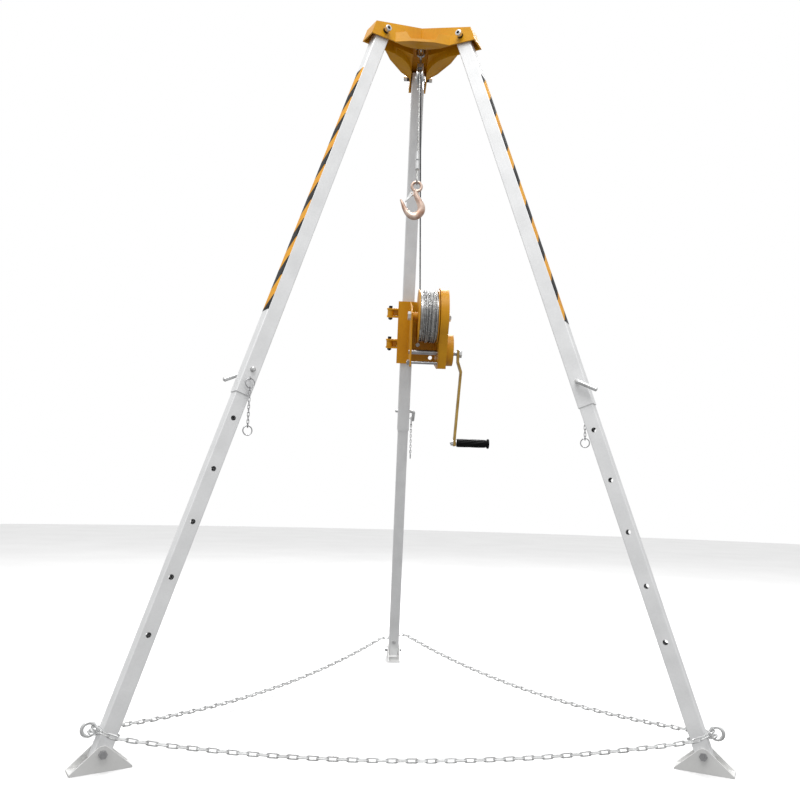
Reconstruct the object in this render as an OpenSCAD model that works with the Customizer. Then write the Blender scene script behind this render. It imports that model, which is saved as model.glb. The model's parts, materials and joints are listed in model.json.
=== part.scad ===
// Rescue tripod: three telescopic legs on a pressed head, a brake winch on the rear leg,
// a pulley block under the head, a hook on a wire rope, and chains between the feet.
// Millimetres, +Z up. The origin is on the floor under the middle of the overall box,
// the rear leg points along +Y, and the left and right legs stand in front of it.

/* [Tripod] */
// Radius of the circle through the foot pivots
foot_circle_r = 800; // [740:5:860]
// Radius of the circle through the leg pivots on the head
head_circle_r = 148; // [144:1:160]
// Leg length from head pivot to foot pivot
leg_len = 2090; // [2040:5:2150]

/* [Legs] */
// Outside width of the square upper tube
upper_tube_w = 42; // [40:1:46]
// Wall of both square tubes
tube_wall = 2; // [1.5:0.1:2.5]
// Gap on each side between the sliding tubes
tube_gap = 0.5; // [0.4:0.1:0.8]
// Outside corner radius of both tubes
tube_corner_r = 3; // [2.6:0.1:4]
// Upper tube left above the head pivot
leg_top = 14; // [13:1:16]
// Lower tube left below the foot pivot
leg_bottom = 18; // [14:1:20]
// Lowest adjusting hole above the foot pivot
first_hole = 261; // [250:1:270]
// Spacing of the adjusting holes
hole_pitch = 137; // [130:1:142]
// Number of adjusting holes
hole_count = 7; // [7:1:8]
// Number of the hole that is pinned, counted from the lowest
pinned_hole = 6; // [5:1:6]
// Upper tube left below the lock pin
pin_to_end = 69; // [40:1:90]
// Lower tube left above its highest hole
tube_over_hole = 60; // [40:1:80]

/* [Lock pins] */
// Diameter of the lock pin
pin_d = 12; // [10:0.5:13]
// Gap round the lock pin in its holes
pin_gap = 0.5; // [0.3:0.1:0.8]
// Length of the bent handle
pin_handle = 62; // [50:1:75]
// Downward slant of the handle from square to the leg
pin_slant = 44; // [20:1:60]
// Length of pin that shows past the tube
pin_tip = 10; // [6:1:14]
// Outside diameter of the lanyard rings
lanyard_ring_d = 27; // [22:1:32]
// Wire of the lanyard rings
lanyard_ring_wire = 3; // [2:0.5:4]
// Links in the lanyard chain
lanyard_links = 11; // [7:1:14]

/* [Feet] */
// Height of the foot pivot above the floor
foot_pivot_h = 38; // [34:1:44]
// Length of the foot on the floor
foot_len = 132; // [110:1:150]
// Plate of the foot
foot_plate = 4; // [3:0.5:5]
// Radius of the foot's rounded top
foot_top_r = 17.5; // [15:0.5:20]
// Gap between the leg and each foot cheek
foot_gap = 0.8; // [0.5:0.1:1.5]
// Foot bolt diameter
foot_bolt_d = 10; // [8:0.5:12]

/* [Head] */
// Plate of the pressed head
head_plate = 4; // [3:0.5:5]
// Gap between a leg and each head cheek
cheek_gap = 4; // [2:0.5:6]
// Depth of the skirt at an arm's end below the leg pivots
skirt_depth = 25; // [24:0.5:30]
// Height of the flat top above the leg pivots
cap_h = 60; // [54:1:64]
// Depth of the webs, and of the trays between the arms, below the pivots
web_depth = 21; // [19:0.5:23]
tray_depth = 21.6; // [20:0.2:24]
// Height of a tray's lip, height of its panel above the pivots, reach from the axis and half width of its flat
lip_h = 8; // [6:0.5:10]
panel_top = 9; // [6:0.5:12]
tray_reach = 91; // [88:0.5:94]
tray_flat = 37; // [34:0.5:40]
// Height of the ledge between the arms above the pivots
ledge_h = 6; // [2:1:12]
// Radius of the hollow between two arms
hollow_r = 137; // [115:1:150]
// Gap between the swinging leg end and the roof of the head
roof_gap = 0.8; // [0.5:0.1:2]
// Gap between the open leg and the leaning end wall of its arm
end_gap = 13.5; // [12:0.5:15]
// Leg pivot bolt diameter
pivot_bolt_d = 12; // [10:0.5:14]
// Outside diameter of the pivot bush
bush_d = 18; // [17:0.5:20]
// Length of bush that shows past the head cheek
bush_out = 8; // [5:0.5:12]

/* [Pulley] */
// Rope diameter
rope_d = 5; // [4:0.5:6]
// Radius of the rope's middle round the sheave
sheave_r = 26; // [24:0.5:30]
// Width of the sheave
sheave_w = 12; // [10:0.5:14]
// Plate of the pulley cheeks
pulley_plate = 3; // [2:0.5:4]
// Drop of the sheave axle below the leg pivots
sheave_drop = 89; // [86:1:94]
// Sheave axle diameter
sheave_axle_d = 10; // [8:0.5:12]

/* [Hook] */
// Height of the hook's eye above the floor
hook_eye_z = 1565; // [1500:5:1600]
// Middle radius of the hook's eye
hook_eye_r = 14.5; // [13:0.5:16]
// Wire of the hook's eye
hook_eye_wire = 9; // [8:0.5:10]
// Height of each crimped ferrule
ferrule_h = 26; // [22:1:30]

/* [Chains] */
// Wire of the chain links
chain_wire = 4; // [3.5:0.1:4.5]
// Spacing of the chain links
chain_pitch = 22; // [20:0.5:25]
// Inside width of a chain link
chain_inside = 7; // [6.6:0.1:8]
// Sag of a chain at its middle below its ends
chain_sag = 44; // [30:1:50]
// Height of the eye bolts above the foot pivot along the leg
eye_s = 39; // [36:1:60]
// Middle radius of an eye bolt's ring
eye_r = 14; // [13:0.5:16]
// Wire of an eye bolt's ring
eye_wire = 8; // [7:0.5:9]
// Gap between the tube and an eye bolt's ring
eye_off = 7; // [7:0.5:10]

/* [Winch] */
// Distance of the drum axle below the rear leg pivot along the leg
winch_s = 787; // [740:1:830]
// Plate of the winch frame
frame_plate = 5; // [4:0.5:6]
// Drum flange radius
flange_r = 90; // [86:1:92]
// Drum flange plate
flange_plate = 4; // [3:0.5:5]
// Gap between drum flange and base plate
drum_back_gap = 18.5; // [16:0.5:24]
// Width of the drum between its flanges
drum_w = 61; // [58:1:66]
// Diameter of the drum barrel
barrel_d = 64; // [50:1:80]
// Drum axle diameter
drum_axle_d = 16; // [14:0.5:18]
// Radius of the middle of the outer rope layer
winding_r = 83.4; // [78:0.1:84]
// Turns of the outer rope layer
winding_turns = 9; // [7:1:9]
// Spacing of the rope turns
winding_pitch = 5.6; // [5.6:0.1:6]
// Gear module
gear_module = 2.5; // [2.5:0.1:2.5]
// Teeth of the drum gear
gear_teeth = 72; // [72:4:72]
// Teeth of the pinion
pinion_teeth = 26; // [26:4:26]
// Width of the gears
gear_w = 12; // [10:0.5:13]
// Wall of the gear cover
cover_wall = 3; // [2:0.5:4]
// Depth of the gear cover
cover_depth = 23; // [22:0.5:26]
// Radius of the brake cover
brake_r = 55; // [54:0.5:57]
// Depth of the brake cover
brake_depth = 25; // [22:0.5:27]
// Height of the brake cover's middle above the crank shaft
brake_lift = 11; // [9:0.5:12]
// Crank shaft diameter
shaft_d = 16; // [14:0.5:18]

/* [Crank] */
// Crank arm length between shaft and grip
crank_len = 308; // [260:1:330]
// Thickness of the crank bar
crank_plate = 8; // [6:0.5:10]
// Width of the crank bar
crank_bar = 22; // [18:1:26]
// Length of the grip
grip_len = 110; // [95:1:125]
// Diameter of the grip
grip_d = 28; // [24:1:32]
// Grip spindle diameter
spindle_d = 10; // [8:0.5:12]

/* [Fits] */
// Gap on each side of a bolt or shaft in its hole
fit_gap = 0.2; // [0.15:0.05:0.3]
// Gap between pieces that only rest near each other
rest_gap = 0.3; // [0.25:0.05:0.4]

/* [Hidden] */
$fn = 48;
SIDES = ["left", "right", "rear"];
LEG_ANGLES = [210, 330, 90];
GAP_ANGLES = [270, 30, 150];
LEG_NODES = ["upper_tube", "lower_tube", "lock_pin", "pin_lanyard", "eye_bolt", "foot", "foot_bolt"];
CHAIN_NODES = ["chain_front", "chain_right", "chain_left"];

YELLOW = [0.93, 0.62, 0.11];
ALUMINIUM = [0.80, 0.81, 0.82];
ZINC = [0.72, 0.74, 0.75];
STEEL = [0.55, 0.56, 0.57];
BLACK = [0.10, 0.10, 0.11];
COPPER = [0.83, 0.62, 0.50];

// Overall stance of the legs
leg_run = foot_circle_r - head_circle_r;
leg_rise = sqrt(leg_len * leg_len - leg_run * leg_run);
leg_tilt = atan2(leg_run, leg_rise);
pivot_z = foot_pivot_h + leg_rise;
lower_tube_w = upper_tube_w - 2 * tube_wall - 2 * tube_gap;
foot_in_w = lower_tube_w + 2 * foot_gap;
foot_w = foot_in_w + 2 * foot_plate;
foot_reach = foot_circle_r + foot_len / 2;
// The rear foot reaches foot_reach behind the tripod's axis, the front feet less in front of it
axis_y = -(foot_reach - foot_reach * sin(30) - foot_w / 2 * cos(30)) / 2;

// Stations along a leg, measured upwards from the foot pivot
pin_s = first_hole + (pinned_hole - 1) * hole_pitch;
upper_end_s = pin_s - pin_to_end;
lower_top_s = first_hole + (hole_count - 1) * hole_pitch + tube_over_hole;

// Head sheet
arm_w = upper_tube_w + 2 * cheek_gap + 2 * head_plate;
// The roof of an arm falls from the flat top to just above the outer corner of the open leg's end
roof_start_r = arm_w / 2 / tan(60) + 2;
leg_corner = [
    head_circle_r + upper_tube_w / 2 * cos(leg_tilt) - leg_top * sin(leg_tilt),
    upper_tube_w / 2 * sin(leg_tilt) + leg_top * cos(leg_tilt)
];
roof_fall = cap_h - leg_corner[1] - roof_gap - head_plate;
roof_angle = atan2(roof_fall, leg_corner[0] - roof_start_r);
tip_r = head_circle_r + (upper_tube_w / 2 + head_plate) / cos(leg_tilt) + end_gap;
skirt_start_r = 122;
tray_end = [81, 88];

// Fasteners: size across flats, head and nut heights as multiples of the thread
hex_af = 1.6;
head_share = 0.65;
nut_share = 0.85;

// Hanging gear under the head, measured down from the leg pivots
head_eye_r = 15;
head_eye_wire = 9;
head_eye_z = pivot_z + 24;
shackle_wire = 8;
shackle_in_r = 11;
shackle_leg = 20;
shackle_pin_z = head_eye_z - head_eye_r + head_eye_wire / 2 + shackle_wire / 2 + rest_gap;
shackle_bow_z = shackle_pin_z - shackle_leg - shackle_in_r;
swivel_wire = 6;
swivel_r = 10;
swivel_z = shackle_bow_z + shackle_wire / 2 + swivel_wire / 2 + rest_gap - swivel_r;
sheave_z = pivot_z - sheave_drop;
pulley_r = sheave_r + rope_d + 1;
pulley_side_gap = 0.6;
pulley_in_w = sheave_w + 2 * pulley_side_gap;
pulley_head_h = 13;
pulley_head_d = 18;

// Drum axle in the rear leg's own frame, where the leg's axis is z and -y faces the tripod's middle
base_gap = 0.5;
base_front = upper_tube_w / 2 + base_gap + frame_plate;
drum_y = -(base_front + drum_back_gap + flange_r);
drum_pos = [
    head_circle_r + drum_y * cos(leg_tilt) + winch_s * sin(leg_tilt),
    pivot_z + drum_y * sin(leg_tilt) - winch_s * cos(leg_tilt)
];

// Winch stations along the drum axle, from left to right
left_plate_x = 5;
spacer_w = 18;
left_flange_x = left_plate_x + frame_plate + spacer_w;
barrel_x = left_flange_x + flange_plate;
right_flange_x = barrel_x + drum_w;
right_plate_x = right_flange_x + flange_plate + 2;
cover_x = right_plate_x + frame_plate;
gear_x = cover_x + 3;
cover_face_x = cover_x + cover_depth;
brake_face_x = cover_face_x + brake_depth;
disc_t = 2;
wheel_t = 6;
wheel_x = cover_face_x + 0.6;
disc_in_x = wheel_x - disc_t - fit_gap;
disc_out_x = wheel_x + wheel_t + fit_gap;
crank_x = brake_face_x + 16;
shaft_drop = gear_module * (gear_teeth + pinion_teeth) / 2;
gear_out_r = gear_module * (gear_teeth + 2) / 2;
cover_r = gear_out_r + 2.5 + cover_wall;
cover_bottom = shaft_drop + brake_r - brake_lift + 3.5;
hub_d = 40;
base_left = -35;
base_top = 42;
base_bottom = -178;
disc_r = 30;
wheel_r = 38;
wheel_root = 33;
wheel_teeth = 16;
wheel_opening_r = 40.5;
pawl_at = [-38, 28];
pawl_pin_d = 6;

// Rope from the drum's rear side to the sheave, as the outer tangent of their two circles
rope_x = barrel_x + 8;
tangent_dy = drum_pos[0];
tangent_dz = drum_pos[1] - sheave_z;
tangent_len = sqrt(tangent_dy * tangent_dy + tangent_dz * tangent_dz);
tangent_angle = atan2(tangent_dz, tangent_dy) + acos((sheave_r - winding_r) / tangent_len);
tangent_dir = [cos(tangent_angle), sin(tangent_angle)];
drum_off = [rope_x, drum_pos[0] + winding_r * tangent_dir[0], drum_pos[1] + winding_r * tangent_dir[1]];
rope_yaw = atan2(drum_off[0], drum_off[1]);
hook_x = -sheave_r * sin(rope_yaw);
hook_y = -sheave_r * cos(rope_yaw);
ferrule_gap = 4;
ferrule_bottom = hook_eye_z + 55;
ferrule_top = ferrule_bottom + 2 * ferrule_h + ferrule_gap;
ferrule_w = 19;
ferrule_d = 11;

// Frames

module tripod_axis() {
    translate([0, axis_y, 0]) children();
}

// Leg frame: origin at the head pivot, x out from the tripod, z up along the leg
module leg_frame(i) {
    tripod_axis() rotate([0, 0, LEG_ANGLES[i]]) translate([head_circle_r, 0, pivot_z])
        rotate([0, -leg_tilt, 0]) children();
}

// Foot frame: origin at the foot pivot, x out from the tripod, z upright
module foot_frame(i) {
    tripod_axis() rotate([0, 0, LEG_ANGLES[i]]) translate([foot_circle_r, 0, foot_pivot_h]) children();
}

// Winch frame: origin on the drum axle in the rear leg's middle plane, x along the axle, z up the leg
module winch_frame_at() {
    tripod_axis() translate([0, drum_pos[0], drum_pos[1]]) rotate([leg_tilt, 0, 0]) children();
}

// Shaft frame: as the winch frame, with its origin on the crank shaft
module shaft_frame() {
    winch_frame_at() translate([0, 0, -shaft_drop]) children();
}

// Rope frame: origin on the sheave axle, x along the axle, y towards the drum
module rope_frame() {
    tripod_axis() translate([0, 0, sheave_z]) rotate([0, 0, -rope_yaw]) children();
}

// Hook frame: origin at the middle of the hook's eye
module hook_frame() {
    tripod_axis() translate([hook_x, hook_y, hook_eye_z]) children();
}

// Shared shapes

// Round bar along x
module rod_x(d, x0, x1) {
    translate([x0, 0, 0]) rotate([0, 90, 0]) cylinder(d = d, h = x1 - x0);
}

// Round bar along y
module rod_y(d, y0, y1) {
    translate([0, y0, 0]) rotate([-90, 0, 0]) cylinder(d = d, h = y1 - y0);
}

// Hexagon along x
module hex_x(thread, x0, h) {
    translate([x0, 0, 0]) rotate([0, 90, 0]) hex_z(thread, h);
}

// Hexagon along y
module hex_y(thread, y0, h) {
    translate([0, y0, 0]) rotate([-90, 0, 0]) hex_z(thread, h);
}

// Hexagon along z
module hex_z(thread, h) {
    cylinder(d = hex_af * thread / cos(30), h = h, $fn = 6);
}

// Outline in the y-z plane, carried along x
module along_x(x0, h) {
    translate([x0, 0, 0]) rotate([90, 0, 90]) linear_extrude(h) children();
}

// Ring of round wire in the x-y plane
module ring(r, wire) {
    rotate_extrude() translate([r, 0]) circle(d = wire, $fn = 24);
}

// Part of such a ring, from angle a0 through the given sweep
module ring_arc(r, wire, a0, sweep) {
    rotate([0, 0, a0]) rotate_extrude(angle = sweep) translate([r, 0]) circle(d = wire, $fn = 24);
}

// Square outline with rounded corners
function corner_points(w, r) = [
    for (q = [0:3]) for (k = [0:4])
        let (a = q * 90 + k * 22.5, c = w / 2 - r)
        [c * sign(cos(q * 90 + 45)) + r * cos(a), c * sign(sin(q * 90 + 45)) + r * sin(a)]
];

module square_tube(w, wall, r, z0, z1) {
    translate([0, 0, z0]) linear_extrude(z1 - z0) difference() {
        polygon(corner_points(w, r));
        polygon(corner_points(w - 2 * wall, r - wall));
    }
}

// Point where a line from the point p meets the circle of radius r round the origin
function touch_point(p, r, side) =
    let (a = atan2(p[1], p[0]) + side * acos(r / norm(p)))
    [r * cos(a), r * sin(a)];

// Loft along points: each ring has a half size towards the vector up and another across it
function unit(v) = v / norm(v);
function path_dir(p, i) = unit(p[min(i + 1, len(p) - 1)] - p[max(i - 1, 0)]);
function loft_ring(p, i, half, sides, up) =
    let (t = path_dir(p, i), b = unit(cross(t, up)), n = cross(b, t))
    [for (k = [0:sides - 1]) p[i] + half[0] * cos(k * 360 / sides) * n + half[1] * sin(k * 360 / sides) * b];

module loft(p, halves, sides, up) {
    rings = len(p);
    last = (rings - 1) * sides;
    polyhedron(
        points = [for (i = [0:rings - 1]) each loft_ring(p, i, halves[i], sides, up)],
        faces = concat(
            [for (k = [1:sides - 2]) [0, k, k + 1]],
            [for (k = [1:sides - 2]) [last, last + k + 1, last + k]],
            [for (i = [0:rings - 2]) for (k = [0:sides - 1])
                [i * sides + k, (i + 1) * sides + k, i * sides + (k + 1) % sides]],
            [for (i = [0:rings - 2]) for (k = [0:sides - 1])
                [i * sides + (k + 1) % sides, (i + 1) * sides + k, (i + 1) * sides + (k + 1) % sides]]
        )
    );
}

// Round tube along points
module tube(p, r, sides, up) {
    loft(p, [for (q = p) [r, r]], sides, up);
}

// Smooth curve through points, with the given steps between neighbours
function curve_point(p, i, u) =
    let (a = p[max(i - 1, 0)], b = p[i], c = p[i + 1], d = p[min(i + 2, len(p) - 1)])
    b + u * ((c - a) + u * ((2 * a - 5 * b + 4 * c - d) + u * (3 * b - a - 3 * c + d))) / 2;
function curve(p, steps) = concat(
    [for (i = [0:len(p) - 2]) for (k = [0:steps - 1]) curve_point(p, i, k / steps)], [p[len(p) - 1]]
);

// Head

function turned(p, a) = [p[0] * cos(a) - p[1] * sin(a), p[0] * sin(a) + p[1] * cos(a)];

// Plan of the three arms, as one outline
function arm_points(half, tip) = [
    for (a = LEG_ANGLES) each [
        turned([tip, -half], a), turned([tip, half], a), turned([half / sin(60), 0], a + 60)
    ]
];

// Plan of the three webs that join the arms along hollow curves, all drawn in by inset. Each runs into its arms
module web_plan(inset) {
    half = arm_w / 2 - inset;
    hollow = hollow_r + inset;
    far_x = half / sin(60) + hollow / tan(60) * cos(60);
    far_y = 0.92 * far_x * tan(60);
    for (a = GAP_ANGLES) rotate(a) difference() {
        polygon([[half / 2, 0], [far_x, -far_y], [far_x, far_y]]);
        translate([(arm_w / 2 + hollow_r) / sin(60), 0]) circle(r = hollow + 0.5, $fn = 96);
    }
}

// Height of an arm's sloping roof above the pivots at radius r, and radius of its leaning end at height z
function roof_z(r, inset) = cap_h - (r - roof_start_r) * tan(roof_angle) - inset / cos(roof_angle);
function end_r(z, inset) = tip_r - inset / cos(leg_tilt) - z * tan(leg_tilt);

// Height of the corner between the roof and the end
function corner_z(inset) = roof_z(end_r(0, inset), inset) / (1 - tan(roof_angle) * tan(leg_tilt));

// Slice through an arm's middle, as wide as the arm
module arm_slice(points) {
    rotate([90, 0, 0]) linear_extrude(arm_w + 2, center = true) polygon(points);
}

// Arms and webs drawn in by inset. The outer form has sloping lower edges, the inner one runs out below
module head_form(inset, below) {
    half = arm_w / 2 - inset;
    cap = cap_h - inset;
    near = half / 2;
    low = -skirt_depth - below;
    past = end_r(low, inset) + 20;
    translate([0, 0, -web_depth - below]) linear_extrude(ledge_h - inset + web_depth + below) web_plan(inset);
    difference() {
        translate([0, 0, low]) linear_extrude(cap - low) polygon(arm_points(half, past - 10));
        for (a = LEG_ANGLES) rotate([0, 0, a]) arm_slice([
            [near, roof_z(near, inset)], [end_r(corner_z(inset), inset), corner_z(inset)],
            [end_r(low - 1, inset), low - 1], [past, low - 1], [past, 2 * cap], [near, 2 * cap]
        ]);
        if (below == 0) {
            for (a = LEG_ANGLES) rotate([0, 0, a]) arm_slice([
                [skirt_start_r - 40, -web_depth - 0.5], [skirt_start_r, -web_depth - 0.5],
                [end_r(low, 0) + 5, low + 1], [past, low - 1], [skirt_start_r - 40, low - 1]
            ]);
            translate([0, 0, low - 1]) cylinder(r = skirt_start_r - 30, h = -web_depth - low);
        }
    }
}

// Trays between the arms: a floor from the web out to an upright panel whose middle is cut down to a low lip
module head_trays() {
    t = head_plate;
    for (a = GAP_ANGLES) rotate([0, 0, a]) {
        translate([0, 0, -tray_depth]) linear_extrude(t) polygon([
            [38, 0], [tray_end[0] - 5, tray_end[1]], [tray_end[0] - 1, tray_end[1] - 1],
            [tray_reach - t / 2, tray_flat], [tray_reach - t / 2, -tray_flat],
            [tray_end[0] - 1, 1 - tray_end[1]], [tray_end[0] - 5, -tray_end[1]]
        ]);
        difference() {
            translate([0, 0, -tray_depth - 0.8]) linear_extrude(tray_depth + 0.8 + panel_top) polygon([
                tray_end, [tray_reach, tray_flat], [tray_reach, -tray_flat], [tray_end[0], -tray_end[1]],
                [tray_end[0] - t, 1.5 - tray_end[1]], [tray_reach - t, 0.5 - tray_flat],
                [tray_reach - t, tray_flat - 0.5], [tray_end[0] - t, tray_end[1] - 1.5]
            ]);
            translate([tray_reach - 30, 0, 0]) rotate([90, 0, 90]) linear_extrude(60) polygon([
                [-tray_flat, lip_h - tray_depth], [tray_flat, lip_h - tray_depth],
                [tray_flat + 14, panel_top], [tray_flat + 14, panel_top + 9],
                [-tray_flat - 14, panel_top + 9], [-tray_flat - 14, panel_top]
            ]);
        }
    }
}

module head() {
    color(YELLOW) tripod_axis() translate([0, 0, pivot_z]) difference() {
        union() {
            head_form(0, 0);
            head_trays();
        }
        head_form(head_plate, 1);
        for (a = LEG_ANGLES) rotate([0, 0, a]) translate([head_circle_r, 0, 0])
            rod_y(bush_d + 2 * fit_gap, -arm_w, arm_w);
        cylinder(d = pivot_bolt_d + 2 * fit_gap, h = cap_h + 1);
    }
}

module at_pivots() {
    tripod_axis() for (a = LEG_ANGLES) rotate([0, 0, a]) translate([head_circle_r, 0, pivot_z]) children();
}

module pivot_bushes() {
    reach = arm_w / 2 + bush_out;
    color(STEEL) at_pivots() difference() {
        rod_y(bush_d, -reach, reach);
        rod_y(pivot_bolt_d + 2 * fit_gap, -reach - 1, reach + 1);
    }
}

// Bolts through the bushes, each with its nut
module pivot_bolts() {
    reach = arm_w / 2 + bush_out;
    head_h = head_share * pivot_bolt_d;
    nut_h = nut_share * pivot_bolt_d;
    color(ZINC) at_pivots() {
        rod_y(pivot_bolt_d, -reach - head_h, reach + nut_h + 3);
        hex_y(pivot_bolt_d, -reach - head_h, head_h);
        hex_y(pivot_bolt_d, reach, nut_h);
    }
}

// Eye bolt through the flat top, with a collar under the plate and a nut on it
module head_eye_bolt() {
    top = pivot_z + cap_h;
    collar_h = 4;
    shank_z = head_eye_z + head_eye_r;
    color(ZINC) tripod_axis() {
        translate([0, 0, head_eye_z]) rotate([0, 90, -rope_yaw]) ring(head_eye_r, head_eye_wire);
        translate([0, 0, top - head_plate - collar_h]) cylinder(d = 2 * pivot_bolt_d, h = collar_h);
        translate([0, 0, shank_z]) cylinder(d = pivot_bolt_d, h = top + pivot_bolt_d - shank_z);
        translate([0, 0, top]) hex_z(pivot_bolt_d, nut_share * pivot_bolt_d);
    }
}

// Shackle with its pin through the head's eye and its bow below
module shackle() {
    lug_w = shackle_wire + 2;
    color(STEEL) tripod_axis() rotate([0, 0, -rope_yaw]) {
        translate([0, 0, shackle_pin_z - shackle_leg]) rotate([90, 0, 0])
            ring_arc(shackle_in_r, shackle_wire, 180, 180);
        for (s = [-1, 1]) {
            translate([s * shackle_in_r, 0, shackle_pin_z - shackle_leg])
                cylinder(d = shackle_wire, h = shackle_leg);
            translate([s * shackle_in_r - lug_w / 2, 0, shackle_pin_z]) rod_x(1.8 * shackle_wire, 0, lug_w);
        }
        translate([0, 0, shackle_pin_z]) {
            rod_x(shackle_wire, -shackle_in_r, shackle_in_r);
            hex_x(shackle_wire, shackle_in_r + lug_w / 2, shackle_wire / 2);
        }
    }
}

// Pulley block

// Swivel eye, stem and the block that the cheeks are fixed to
module pulley_head() {
    block_z = pulley_r + 2;
    color(STEEL) rope_frame() {
        translate([0, 0, swivel_z - sheave_z]) rotate([0, 90, 0]) ring(swivel_r, swivel_wire);
        translate([0, 0, block_z]) cylinder(d = 8, h = swivel_z - sheave_z - swivel_r - block_z);
        translate([-pulley_in_w / 2, -pulley_head_d / 2, block_z])
            cube([pulley_in_w, pulley_head_d, pulley_head_h]);
    }
}

module pulley_cheeks() {
    top = pulley_r + 2 + pulley_head_h;
    shoulder = [pulley_head_d / 2, top];
    edge = touch_point(shoulder, pulley_r, -1);
    color(ZINC) rope_frame() for (s = [0, 1]) mirror([s, 0, 0]) difference() {
        along_x(pulley_in_w / 2, pulley_plate) union() {
            circle(r = pulley_r);
            polygon([[0, 0], edge, shoulder, [-shoulder[0], top], [-edge[0], edge[1]]]);
        }
        rod_x(sheave_axle_d + 2 * fit_gap, 0, pulley_in_w);
    }
}

module pulley_axle() {
    reach = pulley_in_w / 2 + pulley_plate;
    color(ZINC) rope_frame() {
        rod_x(sheave_axle_d, -reach - 1, reach + 1);
        hex_x(sheave_axle_d, reach, head_share * sheave_axle_d);
        hex_x(sheave_axle_d, -reach - head_share * sheave_axle_d, head_share * sheave_axle_d);
    }
}

module pulley_sheave() {
    rim = sheave_r + rope_d * 0.6;
    groove = rope_d + 2 * rest_gap;
    flare = 1.5;
    color(STEEL) rope_frame() difference() {
        rod_x(2 * rim, -sheave_w / 2, sheave_w / 2);
        rotate([0, 90, 0]) ring(sheave_r, groove);
        rotate([0, 90, 0]) rotate_extrude() polygon([
            [sheave_r, -groove / 2], [rim + 1, -groove / 2 - flare],
            [rim + 1, groove / 2 + flare], [sheave_r, groove / 2]
        ]);
        rod_x(sheave_axle_d + 2 * fit_gap, -sheave_w, sheave_w);
    }
}

// Legs

module upper_tube(i) {
    color(ALUMINIUM) leg_frame(i) difference() {
        square_tube(upper_tube_w, tube_wall, tube_corner_r, upper_end_s - leg_len, leg_top);
        rod_y(bush_d + 2 * fit_gap, -upper_tube_w, upper_tube_w);
        translate([0, 0, pin_s - leg_len]) rod_y(pin_d + 2 * pin_gap, -upper_tube_w, upper_tube_w);
    }
}

module lower_tube(i) {
    color(ALUMINIUM) leg_frame(i) translate([0, 0, -leg_len]) difference() {
        square_tube(lower_tube_w, tube_wall, tube_corner_r - tube_gap, -leg_bottom, lower_top_s);
        for (k = [0:hole_count - 1]) translate([0, 0, first_hole + k * hole_pitch])
            rod_y(pin_d + 2 * pin_gap, -upper_tube_w, upper_tube_w);
        rod_y(foot_bolt_d + 2 * fit_gap, -upper_tube_w, upper_tube_w);
        translate([0, 0, eye_s]) rod_x(eye_wire + 2 * fit_gap, -upper_tube_w, upper_tube_w);
    }
}

// Round bar along z with a chamfered end
module tipped_bar(d, h) {
    chamfer = d / 5;
    cylinder(d = d, h = h - chamfer);
    translate([0, 0, h - chamfer]) cylinder(d1 = d, d2 = d - 2 * chamfer, h = chamfer);
}

// Bent pin: shank through both tubes, a slightly thicker bend and a handle that slants down beside the tube
module lock_pin(i) {
    turn_r = pin_d;
    side = upper_tube_w / 2 + 4;
    into = pin_d / 12;
    color(ZINC) leg_frame(i) translate([0, 0, pin_s - leg_len]) {
        translate([0, -side - into, 0]) rotate([-90, 0, 0])
            tipped_bar(pin_d, side + into + upper_tube_w / 2 + pin_tip);
        rotate([0, pin_slant, 0]) {
            translate([turn_r, -side, 0]) ring_arc(turn_r, 1.03 * pin_d, 180, 90);
            translate([turn_r - into, -side - turn_r, 0]) rotate([0, 90, 0])
                tipped_bar(pin_d, pin_handle - turn_r + into);
        }
    }
}

// Screw eye beside the pin, a ring in it, a short chain that hangs down and a ring on its end.
// The rear leg has it on the side of the pin's handle
module pin_lanyard(i) {
    side = i == 2 ? -1 : 1;
    wire = 2;
    pitch = 9.5;
    screw_r = 4;
    screw_z = -26;
    face = upper_tube_w / 2;
    hang_y = face + screw_r + wire + 2;
    hang_z = wire / 2 - screw_r;
    drop = lanyard_ring_d - 2 * lanyard_ring_wire;
    ring_r = (drop + lanyard_ring_wire) / 2;
    color(STEEL) leg_frame(i) translate([0, side * hang_y, pin_s - leg_len + screw_z]) {
        rotate([0, leg_tilt, 0]) {
            rotate([0, 90, 0]) ring(screw_r, wire);
            translate([0, 0, hang_z + rest_gap - drop / 2]) rotate([90, 0, 0]) ring(ring_r, lanyard_ring_wire);
            translate([0, 0, hang_z + 2 * rest_gap - drop]) {
                for (k = [0:lanyard_links - 1]) translate([0, 0, -pitch * k - pitch / 2 + 1])
                    rotate([0, 90, k % 2 * 90]) chain_link(pitch + rest_gap, 3, wire);
                translate([0, 0, -pitch * lanyard_links + 1 + 2 * rest_gap - drop / 2 + lanyard_ring_wire / 2])
                    rotate([90, 0, 0]) ring(ring_r, lanyard_ring_wire);
            }
        }
        rotate([0, 0, side > 0 ? 0 : 180]) rod_y(3, face - hang_y, -screw_r);
    }
}

// Eye bolt through the lower tube, with its nut inside the tripod
module eye_bolt(i) {
    ring_x = eye_wire_x + eye_r;
    collar_d = 1.5 * eye_wire;
    nut_h = nut_share * eye_wire;
    color(ZINC) leg_frame(i) translate([0, 0, eye_s - leg_len]) {
        translate([ring_x, 0, 0]) rotate([90, 0, 0]) ring(eye_r, eye_wire);
        rod_x(collar_d, lower_tube_w / 2, lower_tube_w / 2 + 2);
        rod_x(eye_wire, -lower_tube_w / 2 - nut_h - 2, ring_x - eye_r);
        hex_x(eye_wire, -lower_tube_w / 2 - nut_h, nut_h);
    }
}

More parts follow.
